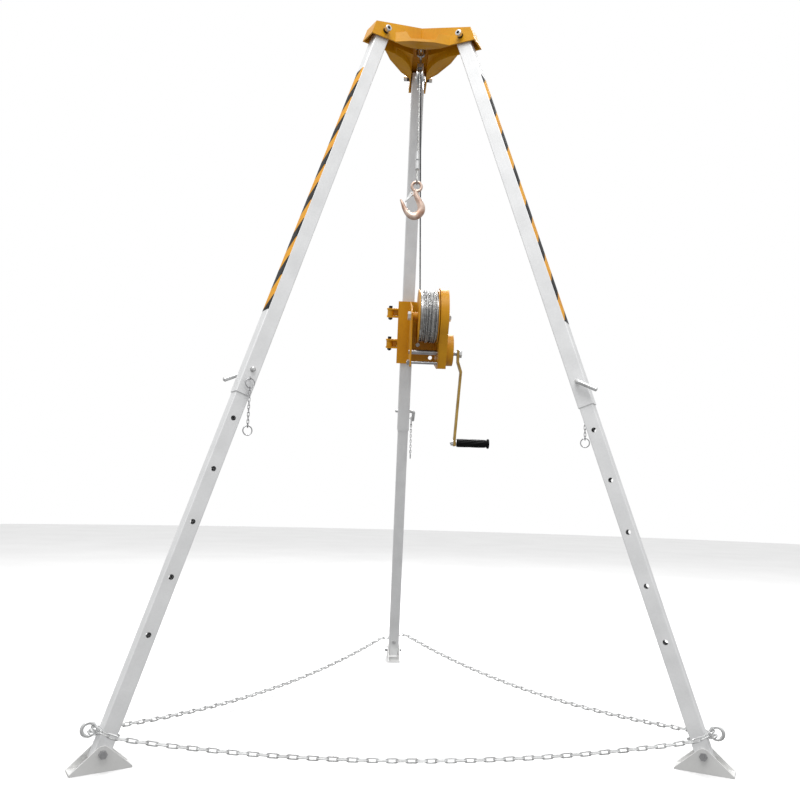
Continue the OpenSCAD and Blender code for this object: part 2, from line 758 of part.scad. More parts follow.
// Shoe bent from plate: a sole and two cheeks with rounded tops
module foot(i) {
    toe = [foot_len / 2, foot_plate - foot_pivot_h];
    right_touch = touch_point(toe, foot_top_r, 1);
    color(ZINC) foot_frame(i) {
        translate([-foot_len / 2, -foot_w / 2, -foot_pivot_h]) cube([foot_len, foot_w, foot_plate]);
        for (s = [0, 1]) mirror([0, s, 0]) difference() {
            translate([0, foot_w / 2, 0]) rotate([90, 0, 0]) linear_extrude(foot_plate) union() {
                circle(r = foot_top_r);
                polygon([
                    [-toe[0], -foot_pivot_h], [toe[0], -foot_pivot_h], toe, right_touch, [0, 0],
                    [-right_touch[0], right_touch[1]], [-toe[0], toe[1]]
                ]);
            }
            rod_y(foot_bolt_d + 2 * fit_gap, 0, foot_w);
        }
    }
}

module foot_bolt(i) {
    reach = foot_w / 2;
    color(ZINC) foot_frame(i) {
        rod_y(foot_bolt_d, -reach - 1, reach + nut_share * foot_bolt_d + 2);
        hex_y(foot_bolt_d, -reach - head_share * foot_bolt_d - rest_gap, head_share * foot_bolt_d);
        hex_y(foot_bolt_d, reach + rest_gap, nut_share * foot_bolt_d);
    }
}

// Chains

// Link of round wire, long along x and flat in the x-y plane. Its sides run a little way into its bows
module chain_link(inside_len, inside_w, wire) {
    bow_r = (inside_w + wire) / 2;
    straight = inside_len - inside_w;
    overlap = wire / 8;
    for (s = [0, 1]) rotate([0, 0, 180 * s]) {
        translate([straight / 2, 0, 0]) ring_arc(bow_r, wire, -90, 180);
        translate([0, bow_r, 0]) rod_x(0.97 * wire, -straight / 2 - overlap, straight / 2 + overlap);
    }
}

// Points on the leg i in the tripod's own axes, from its leg frame
function leg_point(i, p) =
    let (
        r = head_circle_r + p[0] * cos(leg_tilt) - p[2] * sin(leg_tilt),
        z = pivot_z + p[0] * sin(leg_tilt) + p[2] * cos(leg_tilt),
        a = LEG_ANGLES[i]
    )
    [r * cos(a) - p[1] * sin(a), r * sin(a) + p[1] * cos(a), z];

// A chain starts round the inner wire of one eye, bends round the tube's corner, hangs to the next leg
// and ends there in the same way. On each leg one chain lies above the eye's shank and one below it
eye_wire_x = lower_tube_w / 2 + eye_off + eye_wire / 2;
end_lift = (eye_wire + chain_wire) / 2 + 1;
end_x = eye_wire_x + eye_r - sqrt(eye_r * eye_r - end_lift * end_lift);
end_inside = eye_wire + 5.5;
bend_start = 14;
bend_r = 64;
bend_steps = 8;
hang_steps = 40;
function chain_station(i, side, lift, x, y) = leg_point(i, [x, side * y, eye_s - leg_len + lift * end_lift]);
function chain_bend(i, side, lift) = concat(
    [chain_station(i, side, lift, end_x, -eye_wire / 2 - rest_gap)],
    [for (k = [0:bend_steps]) let (a = 60 * k / bend_steps)
        chain_station(i, side, lift, end_x - bend_r * (1 - cos(a)), bend_start + bend_r * sin(a))]
);
function chain_path(i, j, lifts) =
    let (
        first = chain_bend(i, 1, lifts[0]),
        back = chain_bend(j, -1, lifts[1]),
        n = len(first),
        a = first[n - 1],
        b = back[n - 1]
    )
    concat(
        first,
        [for (k = [1:hang_steps - 1]) let (u = k / hang_steps)
            a + (b - a) * u - [0, 0, 4 * chain_sag * u * (1 - u)]],
        [for (k = [n - 1:-1:0]) back[k]]
    );

function run_lengths(p, i = 1, sum = [0]) =
    i == len(p) ? sum : run_lengths(p, i + 1, concat(sum, [sum[i - 1] + norm(p[i] - p[i - 1])]));
function path_point(p, runs, s) =
    let (
        i = max([for (k = [0:len(runs) - 2]) if (runs[k] <= s) k]),
        u = (s - runs[i]) / (runs[i + 1] - runs[i])
    )
    p[i] + (p[i + 1] - p[i]) * u;

// Links of a chain from leg i to leg j: an odd number, so that both end links lie square to the eyes
module chain(i, j, lifts) {
    p = chain_path(i, j, lifts);
    runs = run_lengths(p);
    total = runs[len(runs) - 1];
    count = 2 * floor((total / chain_pitch - 1) / 2 + 0.5) + 1;
    joints = [for (k = [0:count]) path_point(p, runs, min(total - 0.001, total * k / count))];
    color(ZINC) tripod_axis() for (k = [0:count - 1]) {
        d = joints[k + 1] - joints[k];
        translate((joints[k] + joints[k + 1]) / 2)
            rotate([0, -asin(d[2] / norm(d)), atan2(d[1], d[0])])
                if (k == 0 || k == count - 1)
                    rotate([-leg_tilt, 0, 0]) chain_link(norm(d) + 2 * rest_gap, end_inside, chain_wire);
                else
                    rotate([k % 2 * 90, 0, 0]) chain_link(norm(d) + 2 * rest_gap, chain_inside, chain_wire);
    }
}

// Winch frame

module cover_outline(inset) {
    foot_half = 58 - inset;
    waist_half = 0.9 * (cover_r - inset);
    waist_z = -0.25 * cover_r;
    circle(r = cover_r - inset, $fn = 96);
    polygon([
        [-waist_half, waist_z], [-foot_half, inset - cover_bottom],
        [foot_half, inset - cover_bottom], [waist_half, waist_z]
    ]);
}

base_back_y = -drum_y - upper_tube_w / 2 - base_gap;
base_front_y = base_back_y - frame_plate;
clamp_z = [0, -109];
clamp_h = 20;
fork_plate = 6;
fork_gap = 0.5;
fork_z = clamp_h / 2 + fork_gap + fork_plate / 2;
clamp_pin_x = -62;
clamp_pin_y = base_back_y + 9;
clamp_bolt_d = 8;
clamp_hole_d = clamp_bolt_d + 2 * fit_gap;
strap_t = 6;
strap_in = upper_tube_w / 2 + base_gap;
strap_bolt_x = strap_in + strap_t + 11;
strap_back = -drum_y + strap_in + strap_t;
tie_rod_at = [-34, -shaft_drop - 32];
tie_rod_d = 10;

// Base plate against the leg, two side plates and four fork tabs on the left
module winch_frame() {
    color(YELLOW) winch_frame_at() difference() {
        union() {
            translate([base_left, base_front_y, base_bottom])
                cube([cover_x - base_left, frame_plate, base_top - base_bottom]);
            along_x(left_plate_x, frame_plate) polygon([
                [base_back_y, base_top], [10, 30], [-28, 12], [-28, -12], [tie_rod_at[0] - 14, 10 - shaft_drop],
                tie_rod_at - [14, 8], tie_rod_at - [8, 14], [base_back_y, base_bottom]
            ]);
            along_x(right_plate_x, frame_plate) {
                cover_outline(0);
                polygon([[base_back_y, base_top], [0, base_top], [0, base_bottom], [base_back_y, base_bottom]]);
            }
            for (z = clamp_z) for (s = [-1, 1])
                translate([0, 0, z + s * fork_z]) fork_tab();
        }
        rod_x(drum_axle_d + 2 * fit_gap, 0, right_plate_x);
        rod_x(hub_d + 6, right_plate_x - 1, cover_x + 1);
        translate([0, 0, -shaft_drop]) rod_x(shaft_d + 2 * fit_gap, 0, cover_x + 1);
        translate([0, tie_rod_at[0], tie_rod_at[1]]) rod_x(tie_rod_d + 2 * fit_gap, 0, cover_x + 1);
        for (z = clamp_z) {
            translate([clamp_pin_x, clamp_pin_y, z]) cylinder(d = clamp_hole_d, h = 2 * clamp_h, center = true);
            translate([strap_bolt_x, 0, z]) rod_y(clamp_hole_d, base_front_y - 1, base_back_y + 1);
        }
        translate([right_plate_x - 14, 0, base_bottom + 24]) rod_y(14, base_front_y - 1, base_back_y + 1);
    }
}

module fork_tab() {
    linear_extrude(fork_plate, center = true) union() {
        translate([clamp_pin_x, clamp_pin_y]) circle(d = 26);
        translate([clamp_pin_x, base_front_y]) square([base_left - clamp_pin_x + frame_plate, 22]);
    }
}

// Straps round the leg, hinged on the fork bolts and bolted to the base plate at the right
module clamp_straps() {
    color(YELLOW) winch_frame_at() for (z = clamp_z) translate([0, 0, z - clamp_h / 2]) difference() {
        linear_extrude(clamp_h) union() {
            translate([clamp_pin_x, clamp_pin_y]) circle(d = 22);
            translate([clamp_pin_x, clamp_pin_y]) square([-strap_in - clamp_pin_x, strap_t]);
            translate([-strap_in - strap_t, clamp_pin_y]) square([strap_t, strap_back - clamp_pin_y]);
            translate([-strap_in - strap_t, strap_back - strap_t]) square([2 * (strap_in + strap_t), strap_t]);
            translate([strap_in, base_back_y]) square([strap_t, strap_back - base_back_y]);
            translate([strap_in, base_back_y]) square([strap_t + 22, strap_t]);
        }
        translate([clamp_pin_x, clamp_pin_y, -1]) cylinder(d = clamp_hole_d, h = clamp_h + 2);
        translate([strap_bolt_x, 0, clamp_h / 2])
            rod_y(clamp_hole_d, base_back_y - 1, base_back_y + strap_t + 1);
    }
}

module clamp_bolts() {
    reach = clamp_h / 2 + fork_gap + fork_plate;
    color(BLACK) winch_frame_at() for (z = clamp_z) translate([clamp_pin_x, clamp_pin_y, z]) {
        translate([0, 0, -reach - 9]) cylinder(d = clamp_bolt_d, h = 2 * reach + 10);
        translate([0, 0, reach]) cylinder(d = 13, h = clamp_bolt_d);
        translate([0, 0, -reach - nut_share * clamp_bolt_d])
            hex_z(clamp_bolt_d, nut_share * clamp_bolt_d);
    }
}

module strap_bolts() {
    color(ZINC) winch_frame_at() for (z = clamp_z) translate([strap_bolt_x, 0, z]) {
        rod_y(clamp_bolt_d, base_front_y - 1, base_back_y + strap_t + nut_share * clamp_bolt_d + 2);
        hex_y(clamp_bolt_d, base_front_y - head_share * clamp_bolt_d, head_share * clamp_bolt_d);
        hex_y(clamp_bolt_d, base_back_y + strap_t, nut_share * clamp_bolt_d);
    }
}

// Rod that ties the side plates, with a nut outside each
module tie_rod() {
    nut_h = nut_share * tie_rod_d;
    color(STEEL) winch_frame_at() translate([0, tie_rod_at[0], tie_rod_at[1]]) {
        rod_x(tie_rod_d, left_plate_x - nut_h - 2, cover_x + nut_h + 2);
        hex_x(tie_rod_d, left_plate_x - nut_h, nut_h);
        hex_x(tie_rod_d, cover_x, nut_h);
    }
}

// Cover over the gears, open where the brake comes through, with the pawl's pin riveted in it
module gear_cover() {
    color(YELLOW) winch_frame_at() {
        difference() {
            along_x(cover_x, cover_depth) cover_outline(0);
            along_x(cover_x - 1, cover_depth + 1 - cover_wall) cover_outline(cover_wall);
            rod_x(drum_axle_d + 2 * fit_gap, cover_x, cover_face_x + 1);
            translate([0, 0, -shaft_drop]) rod_x(2 * wheel_opening_r, cover_x, cover_face_x + 1);
        }
        translate([0, pawl_at[0], pawl_at[1] - shaft_drop])
            rod_x(pawl_pin_d, cover_face_x - cover_wall, wheel_x + wheel_t + 1);
    }
}

module brake_cover() {
    wall = 2.5;
    color(YELLOW) shaft_frame() difference() {
        translate([0, 0, brake_lift]) rod_x(2 * brake_r, cover_face_x, brake_face_x);
        translate([0, 0, brake_lift]) rod_x(2 * (brake_r - wall), cover_face_x - 1, brake_face_x - wall);
        rod_x(shaft_d + 10, cover_face_x, brake_face_x + 1);
    }
}

// Drum

module drum_axle() {
    head_h = head_share * drum_axle_d;
    nut_h = nut_share * drum_axle_d;
    color(ZINC) winch_frame_at() {
        rod_x(drum_axle_d, left_plate_x - 1, cover_face_x + nut_h + 2);
        hex_x(drum_axle_d, left_plate_x - head_h, head_h);
        hex_x(drum_axle_d, cover_face_x, nut_h);
    }
}

module drum_spacer() {
    color(YELLOW) winch_frame_at() difference() {
        rod_x(drum_axle_d + 10, left_plate_x + frame_plate, left_flange_x - rest_gap);
        rod_x(drum_axle_d + 2 * fit_gap, 0, left_flange_x);
    }
}

// Barrel with two flanges, and a hub that carries the gear outside the right plate
module drum() {
    color(YELLOW) winch_frame_at() difference() {
        union() {
            rod_x(barrel_d, left_flange_x, right_flange_x + 1);
            rod_x(2 * flange_r, left_flange_x, barrel_x);
            rod_x(2 * flange_r, right_flange_x, right_flange_x + flange_plate);
            rod_x(hub_d, right_flange_x, gear_x + gear_w);
        }
        rod_x(drum_axle_d + 2 * fit_gap, left_flange_x - 1, gear_x + gear_w + 1);
    }
}

// Involute gear outline: tooth k is centred on angle k * 360 / teeth
pressure_angle = 20;
tooth_slack = 0.35;
flank_steps = 4;
function involute_angle(a) = tan(a) * 180 / PI - a;
function gear_points(teeth, m) =
    let (
        pitch_r = m * teeth / 2,
        base_r = pitch_r * cos(pressure_angle),
        root_r = pitch_r - 1.25 * m,
        tip_r = pitch_r + 0.95 * m,
        low_r = max(base_r, root_r),
        half = 90 / teeth - tooth_slack / pitch_r / 2 * 180 / PI + involute_angle(pressure_angle)
    )
    [for (k = [0:teeth - 1]) let (mid = k * 360 / teeth) each concat(
        [let (a = mid - half) root_r * [cos(a), sin(a)]],
        [for (q = [0:flank_steps]) let (r = low_r + (tip_r - low_r) * q / flank_steps,
            a = mid - half + involute_angle(acos(base_r / r))) r * [cos(a), sin(a)]],
        [for (q = [flank_steps:-1:0]) let (r = low_r + (tip_r - low_r) * q / flank_steps,
            a = mid + half - involute_angle(acos(base_r / r))) r * [cos(a), sin(a)]],
        [let (a = mid + half) root_r * [cos(a), sin(a)]]
    )];

module drum_gear() {
    color(STEEL) winch_frame_at() difference() {
        along_x(gear_x, gear_w) polygon(gear_points(gear_teeth, gear_module));
        rod_x(hub_d + fit_gap, gear_x - 1, gear_x + gear_w + 1);
    }
}

// Rope winding: one tube that rises out of the core, winds leftwards and leaves towards the sheave
winding_start_x = rope_x + winding_turns * winding_pitch;
ring_steps = 24;
core_r = winding_r * cos(180 / ring_steps) - rope_d / 2 - rest_gap;
tuck_r = 7;
tuck_depth = winding_r - core_r + 8;
leave_angle = tangent_angle - leg_tilt;

// Point of the winding at a turn angle, in the winch frame
function winding_point(a) =
    let (turn = leave_angle - 360 * winding_turns + a)
    [winding_start_x - winding_pitch * a / 360, winding_r * cos(turn), winding_r * sin(turn)];
function tuck_point(q) =
    let (
        turn = leave_angle - 360 * winding_turns,
        out = [0, cos(turn), sin(turn)],
        along = [0, -sin(turn), cos(turn)],
        mid = [winding_start_x, 0, 0] + (winding_r - tuck_r) * out
    )
    mid + tuck_r * (cos(q) * out - sin(q) * along);
tuck_end = let (turn = leave_angle - 360 * winding_turns)
    tuck_point(90) - (tuck_depth - tuck_r) * [0, cos(turn), sin(turn)];
winding_leave = winding_point(360 * winding_turns) + rope_d * [0, -sin(leave_angle), cos(leave_angle)];
winding_path = concat(
    [tuck_end],
    [for (q = [90:-30:30]) tuck_point(q)],
    [for (k = [0:winding_turns * ring_steps]) winding_point(k * 360 / ring_steps)],
    [winding_leave]
);

// Least gap between parts of the winding that lie more than half a turn apart
function winding_gap(p) = min([
    for (i = [0:len(p) - 1])
        for (j = [i + ring_steps / 2:1:min(i + 2 * ring_steps, len(p) - 1)]) norm(p[i] - p[j])
]) - rope_d;

// Plain core under the outer layer, with a pocket for the end of its tube
module rope_core() {
    turn = leave_angle - 360 * winding_turns;
    pocket_w = rope_d + 2;
    color(STEEL) winch_frame_at() difference() {
        rod_x(2 * core_r, barrel_x + rest_gap, right_flange_x - rest_gap);
        rod_x(barrel_d + 2 * rest_gap, barrel_x, right_flange_x);
        translate([winding_start_x, 0, 0]) rotate([turn, 0, 0]) {
            translate([0, 0, -tuck_r]) rod_y(rope_d + 4, winding_r - tuck_depth - rest_gap, winding_r);
            translate([-pocket_w / 2, winding_r - tuck_r - 3, -tuck_r])
                cube([pocket_w, tuck_r + 3, tuck_r + 3]);
        }
    }
}

module rope_winding() {
    echo(least_gap_in_winding = winding_gap(winding_path));
    color(STEEL) winch_frame_at() tube(winding_path, rope_d / 2, 6, [1, 0, 0]);
}

// Crank and brake

// Shaft with its pinion, a brake flange and a drive sleeve
module crank_shaft() {
    flange_x = disc_in_x - 4 - fit_gap;
    sleeve_x = disc_out_x + disc_t + fit_gap;
    color(STEEL) shaft_frame() {
        rod_x(shaft_d, left_plate_x - 3, crank_x + 14);
        along_x(gear_x, gear_w) polygon(gear_points(pinion_teeth, gear_module));
        rod_x(2 * disc_r, flange_x, disc_in_x - fit_gap);
        rod_x(2 * disc_r, sleeve_x, sleeve_x + 4);
        rod_x(shaft_d + 6, sleeve_x, brake_face_x + 5);
    }
}

module friction_discs() {
    color(BLACK) shaft_frame() for (x = [disc_in_x, disc_out_x]) difference() {
        rod_x(2 * disc_r, x, x + disc_t);
        rod_x(shaft_d + 2 * fit_gap, x - 1, x + disc_t + 1);
    }
}

// Saw-toothed wheel: each tooth rises with the angle and then drops
module ratchet_wheel() {
    step = 360 / wheel_teeth;
    color(STEEL) shaft_frame() difference() {
        along_x(wheel_x, wheel_t) polygon([
            for (k = [0:wheel_teeth - 1]) each [
                wheel_root * [cos(k * step), sin(k * step)],
                wheel_r * [cos((k + 1) * step), sin((k + 1) * step)]
            ]
        ]);
        rod_x(shaft_d + 2 * fit_gap, wheel_x - 1, wheel_x + wheel_t + 1);
    }
}

// Pawl whose nose rests behind a tooth
module pawl() {
    nose_angle = 5 * 360 / wheel_teeth + 3;
    nose_dir = [cos(nose_angle), sin(nose_angle)];
    nose_r = wheel_root + 1.6;
    eye_r = pawl_pin_d / 2 + 3;
    color(STEEL) shaft_frame() difference() {
        along_x(wheel_x + 0.5, wheel_t - 1) polygon(concat(
            [for (a = [80:20:360]) pawl_at + eye_r * [cos(a), sin(a)]],
            [nose_r * nose_dir, (nose_r + 6) * nose_dir]
        ));
        translate([0, pawl_at[0], pawl_at[1]])
            rod_x(pawl_pin_d + 2 * fit_gap, wheel_x - 1, wheel_x + wheel_t + 1);
    }
}

// The crank hangs straight down at rest
module crank_at() {
    shaft_frame() rotate([-leg_tilt, 0, 0]) children();
}

// Flat bar with a shallow bend outwards below the shaft. Its end lies nearer the leg than its hub
grip_off = -6;
module crank_arm() {
    t = crank_plate;
    bow = 11;
    shape = [
        [0, crank_bar / 2], [0, -30], [bow, -65], [grip_off, 15 - crank_len], [grip_off, -crank_len - crank_bar / 2]
    ];
    color(YELLOW) crank_at() difference() {
        translate([crank_x, crank_bar / 2, 0]) rotate([90, 0, 0]) linear_extrude(crank_bar)
            polygon(concat(shape, [for (k = [len(shape) - 1:-1:0]) shape[k] + [t, 0]]));
        rod_x(shaft_d + 2 * fit_gap, crank_x - 1, crank_x + t + 1);
        translate([0, 0, -crank_len])
            rod_x(spindle_d + 2 * fit_gap, crank_x + grip_off - 1, crank_x + grip_off + 2 * t);
    }
}

// Nut on the shaft, and the grip's spindle with its nut behind the bar
module crank_nuts() {
    bar_x = crank_x + grip_off;
    color(ZINC) crank_at() {
        difference() {
            hex_x(shaft_d, crank_x + crank_plate, 9);
            rod_x(shaft_d + fit_gap, crank_x, crank_x + 30);
        }
        translate([0, 0, -crank_len]) {
            rod_x(spindle_d, bar_x - nut_share * spindle_d - 2, bar_x + crank_plate + grip_len);
            hex_x(spindle_d, bar_x - nut_share * spindle_d, nut_share * spindle_d);
            rod_x(1.7 * spindle_d, bar_x + crank_plate, bar_x + crank_plate + 3);
        }
    }
}

module grip() {
    x0 = crank_x + grip_off + crank_plate + 3 + rest_gap;
    x1 = x0 + grip_len;
    color(BLACK) crank_at() translate([0, 0, -crank_len]) difference() {
        rotate([0, 90, 0]) translate([0, 0, x0]) rotate_extrude() polygon([
            [0, 0], [grip_d / 2 - 2, 0], [grip_d / 2, 3], [grip_d / 2, 10], [grip_d / 2 - 1.5, 16],
            [grip_d / 2 - 1.5, grip_len - 16], [grip_d / 2, grip_len - 10], [grip_d / 2, grip_len - 4],
            [grip_d / 2 - 4, grip_len], [0, grip_len]
        ]);
        rod_x(spindle_d + 2 * fit_gap, x0 - 1, x1 - 2.5);
    }
}

// Rope, ferrules and hook

// Rope frame points of the run from the drum up to the sheave. The two ropes meet just below the sheave
rope_sides = 10;
rope_low = [0, norm([drum_off[0], drum_off[1]]), drum_off[2] - sheave_z];
rope_leave = [0, sheave_r * tangent_dir[0], sheave_r * tangent_dir[1]];
rope_dir = unit(rope_leave - rope_low);
rope_join = rope_leave - 2 * rope_d * rope_dir;

module rope_up() {
    steps = 12;
    start = rope_low + (rope_d + rest_gap) * rope_dir;
    color(STEEL) rope_frame()
        tube([for (k = [0:steps]) start + (rope_join - start) * k / steps], rope_d / 2, rope_sides, [1, 0, 0]);
}

// From just below the sheave over its top and straight down to the ferrules
module rope_fall() {
    over = 14;
    steps = 12;
    end_z = ferrule_top - sheave_z;
    color(STEEL) rope_frame() tube(
        concat(
            [rope_join],
            [for (k = [0:over]) let (a = tangent_angle + (180 - tangent_angle) * k / over)
                [0, sheave_r * cos(a), sheave_r * sin(a)]],
            [for (k = [1:steps]) [0, -sheave_r, end_z * k / steps]]
        ),
        rope_d / 2, rope_sides, [1, 0, 0]
    );
}

module ferrules() {
    inset = (ferrule_w - ferrule_d) / 2;
    color(ZINC) tripod_axis() translate([hook_x, hook_y, 0]) {
        for (z = [ferrule_bottom, ferrule_bottom + ferrule_h + ferrule_gap]) translate([0, 0, z]) {
            for (s = [-1, 1]) translate([0, s * inset, 0]) cylinder(d = ferrule_d, h = ferrule_h);
            translate([-ferrule_d / 2, -inset, 0]) cube([ferrule_d, 2 * inset, ferrule_h]);
        }
        for (s = [-1, 1]) translate([0, s * inset, ferrule_bottom + ferrule_h - 1])
            cylinder(d = rope_d, h = ferrule_gap + 2);
    }
}

// Loop of rope that leaves the ferrule, widens round the hook's eye and comes back
module rope_eye() {
    inset = (ferrule_w - ferrule_d) / 2;
    low = hook_eye_r - hook_eye_wire / 2 - rest_gap - rope_d / 2;
    loop_r = 10;
    top = ferrule_bottom - hook_eye_z;
    bow_z = low + loop_r;
    straight = rope_d;
    side = concat([[inset, top]], [for (q = [0:4]) let (u = q / 5)
        [inset + (loop_r - inset) * (1 - cos(180 * u)) / 2, top - straight + (bow_z - top + straight) * u]]);
    path = concat(
        [for (p = side) [0, p[0], p[1]]],
        [for (a = [0:-22.5:-180]) [0, loop_r * cos(a), bow_z + loop_r * sin(a)]],
        [for (k = [len(side) - 1:-1:0]) [0, -side[k][0], side[k][1]]]
    );
    color(STEEL) hook_frame() tube(path, rope_d / 2, rope_sides, [1, 0, 0]);
}

// Hook in the x-z plane of its eye: middle line and half width of the forging from the neck to the tip
hook_line = [
    [-3, -17], [0, -30], [9, -47], [16, -64], [14, -80], [3, -92],
    [-11, -95], [-25, -87], [-35, -72], [-42, -56], [-48, -44]
];
hook_half = [6.5, 8, 10, 11.5, 12, 12, 11, 9, 7, 5, 2.5];
hook_depth = [6, 6.5, 7, 7.5, 7.5, 7.5, 7.5, 7, 6, 5, 3];
latch_at = [-15, -24];
latch_pin_d = 4;
latch_lug_r = 5.5;
latch_lug_w = 6;
latch_sheet = 1.6;
latch_w = latch_lug_w + 2 * rest_gap + 2 * latch_sheet;
hook_steps = 3;

module hook() {
    line = curve([for (p = hook_line) [p[0], 0, p[1]]], hook_steps);
    halves = curve([for (k = [0:len(hook_line) - 1]) [hook_depth[k], hook_half[k]]], hook_steps);
    color(COPPER) hook_frame() {
        rotate([90, 0, 0]) ring(hook_eye_r, hook_eye_wire);
        loft(line, halves, 12, [0, 1, 0]);
        rotate([90, 0, 0]) translate([0, 0, -latch_lug_w / 2]) linear_extrude(latch_lug_w) {
            translate(latch_at) circle(r = latch_lug_r);
            polygon([latch_at + [0, latch_lug_r], [0, -20], [0, -30], latch_at - [0, latch_lug_r]]);
        }
        translate([latch_at[0], 0, latch_at[1]]) rod_y(latch_pin_d, -latch_w / 2 - 1, latch_w / 2 + 1);
    }
}

// Sprung latch of folded sheet: two ears on its pin, and a tongue down to the inside of the tip
module hook_latch() {
    reach = [-18, -26];
    across = unit([reach[1], -reach[0]]);
    slot_w = latch_lug_w + 2 * rest_gap;
    color(ZINC) hook_frame() rotate([90, 0, 0]) translate([latch_at[0], latch_at[1], 0]) difference() {
        linear_extrude(latch_w, center = true) union() {
            circle(r = latch_lug_r);
            polygon([latch_lug_r * across, reach + across, reach - across, -latch_lug_r * across]);
        }
        cylinder(r = latch_lug_r + 2, h = slot_w, center = true);
        translate([0, -latch_lug_r - 2, -slot_w / 2]) cube([40, 40, slot_w]);
        cylinder(d = latch_pin_d + 2 * fit_gap, h = 2 * latch_w, center = true);
    }
}

head();
pivot_bushes();
pivot_bolts();
head_eye_bolt();
shackle();
pulley_head();
pulley_cheeks();
pulley_axle();
pulley_sheave();
for (i = [0:2]) {
    upper_tube(i);
    lower_tube(i);
    lock_pin(i);
    pin_lanyard(i);
    eye_bolt(i);
    foot(i);
    foot_bolt(i);
}
chain(0, 1, [1, 1]);  // chain_front
chain(1, 2, [-1, 1]);  // chain_right
chain(2, 0, [-1, -1]);  // chain_left
winch_frame();
clamp_straps();
clamp_bolts();
strap_bolts();
tie_rod();
gear_cover();
brake_cover();
drum_axle();
drum_spacer();
drum();
drum_gear();
rope_core();
rope_winding();
crank_shaft();
friction_discs();
ratchet_wheel();
pawl();
crank_arm();
crank_nuts();
grip();
rope_up();
rope_fall();
ferrules();
rope_eye();
hook();
hook_latch();
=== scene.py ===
"""Looks of a rescue tripod: three telescopic aluminium legs with locking pins, a pressed steel head
with its pulley, a hand winch with its wire rope, a safety hook, and chains between the feet."""
import json
from math import cos, pi, radians, sin

import bmesh
import bpy
import numpy as np
from mathutils import Matrix


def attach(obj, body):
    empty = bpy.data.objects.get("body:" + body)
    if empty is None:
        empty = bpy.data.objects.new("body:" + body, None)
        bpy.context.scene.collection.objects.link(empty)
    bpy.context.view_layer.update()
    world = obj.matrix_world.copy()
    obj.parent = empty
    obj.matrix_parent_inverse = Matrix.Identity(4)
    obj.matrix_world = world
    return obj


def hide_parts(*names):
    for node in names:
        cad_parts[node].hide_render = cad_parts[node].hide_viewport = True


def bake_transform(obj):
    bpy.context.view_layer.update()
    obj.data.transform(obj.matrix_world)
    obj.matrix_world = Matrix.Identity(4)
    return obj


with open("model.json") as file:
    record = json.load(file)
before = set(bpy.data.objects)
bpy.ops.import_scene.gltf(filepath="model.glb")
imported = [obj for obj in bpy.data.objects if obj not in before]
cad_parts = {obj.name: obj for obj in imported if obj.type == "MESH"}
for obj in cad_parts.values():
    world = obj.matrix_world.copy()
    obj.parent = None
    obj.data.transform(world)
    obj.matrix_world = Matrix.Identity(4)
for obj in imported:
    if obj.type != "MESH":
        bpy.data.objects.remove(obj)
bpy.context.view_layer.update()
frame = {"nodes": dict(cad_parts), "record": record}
nodes = frame["nodes"]
body_of = {
    node: body
    for body, members in frame["record"]["behaviour"]["bodies"].items()
    for node in members
}
slot_of = {part["node"]: part["material_slot"] for part in frame["record"]["subparts"]}

# Sizes of the part in millimetres, angles in radians
MM = 0.001
AXIS_Y = -206.4108
PIVOT_Z = 2023.698
TILT = radians(18.17749)
HEAD_CIRCLE_R = 148.0
LEG_LEN = 2090.0
LEG_ANGLE = {"left": radians(210), "right": radians(330), "rear": radians(90)}
TUBE_HALF = 21.0
TUBE_CORNER_R = 3.0
WINCH_AT = np.array([0, AXIS_Y + 265.251, 1233.859])
SHEAVE_AT = np.array([0, AXIS_Y, 1934.698])
SHEAVE_R = 26.0
ROPE_YAW = radians(6.695)
ROPE_R = 2.5
HOOK_AT = np.array([-3.031, AXIS_Y - 25.823, 1565.0])


def turn(axis, angle):
    """3 by 3 matrix of a turn about one axis, for points in rows."""
    return np.array(Matrix.Rotation(angle, 3, axis)).T


def leg_to_row(leg, points):
    """Points in a leg's axes (outwards, sideways, up the leg from its pivot) taken to the row frame."""
    p = np.asarray(points, float)
    out = HEAD_CIRCLE_R + p[..., 0] * cos(TILT) - p[..., 2] * sin(TILT)
    up = PIVOT_Z + p[..., 0] * sin(TILT) + p[..., 2] * cos(TILT)
    a = LEG_ANGLE[leg]
    x = out * cos(a) - p[..., 1] * sin(a)
    y = out * sin(a) + p[..., 1] * cos(a) + AXIS_Y
    return np.stack([x, y, up], -1)


def winch_to_row(points):
    """Points in the winch's axes (along the drum axle, off the leg, up the leg) taken to the row frame."""
    return np.asarray(points, float) @ turn("X", TILT) + WINCH_AT


def rope_to_row(points):
    """Points in the rope's axes (along the sheave axle, towards the drum, up) taken to the row frame."""
    return np.asarray(points, float) @ turn("Z", -ROPE_YAW) + SHEAVE_AT


# Node groups for effects that several finishes share
MIX_A, MIX_B, MIX_RESULT = 6, 7, 2
SPECK_SCALE = 14.0
SPECK_SHARE = 0.25
TONE_SPAN = (0.36, 0.64)
PATCH_SCALE = 28.0
PATCH_SPAN = (0.35, 0.65)
STREAK_STRETCH = (1.0, 1.0, 0.012)
STREAK_SPAN = (0.3, 0.7)
TONE_IN = {"Vector": "Vector", "Scale": "Float", "Dark": "Color", "Light": "Color"}
SKIN_IN = {"Vector": "Vector", "Scale": "Float", "Gloss": "Float", "Dull": "Float"}
SKIN_OUT = {"Height": "Float", "Roughness": "Float"}


def new_group(name, inputs, outputs):
    """Empty shader group with named sockets. Returns the tree, its input node and its output node."""
    tree = bpy.data.node_groups.new(name, "ShaderNodeTree")
    for way, sockets in (("INPUT", inputs), ("OUTPUT", outputs)):
        for label, kind in sockets.items():
            tree.interface.new_socket(label, in_out=way, socket_type="NodeSocket" + kind)
    return tree, tree.nodes.new("NodeGroupInput"), tree.nodes.new("NodeGroupOutput")


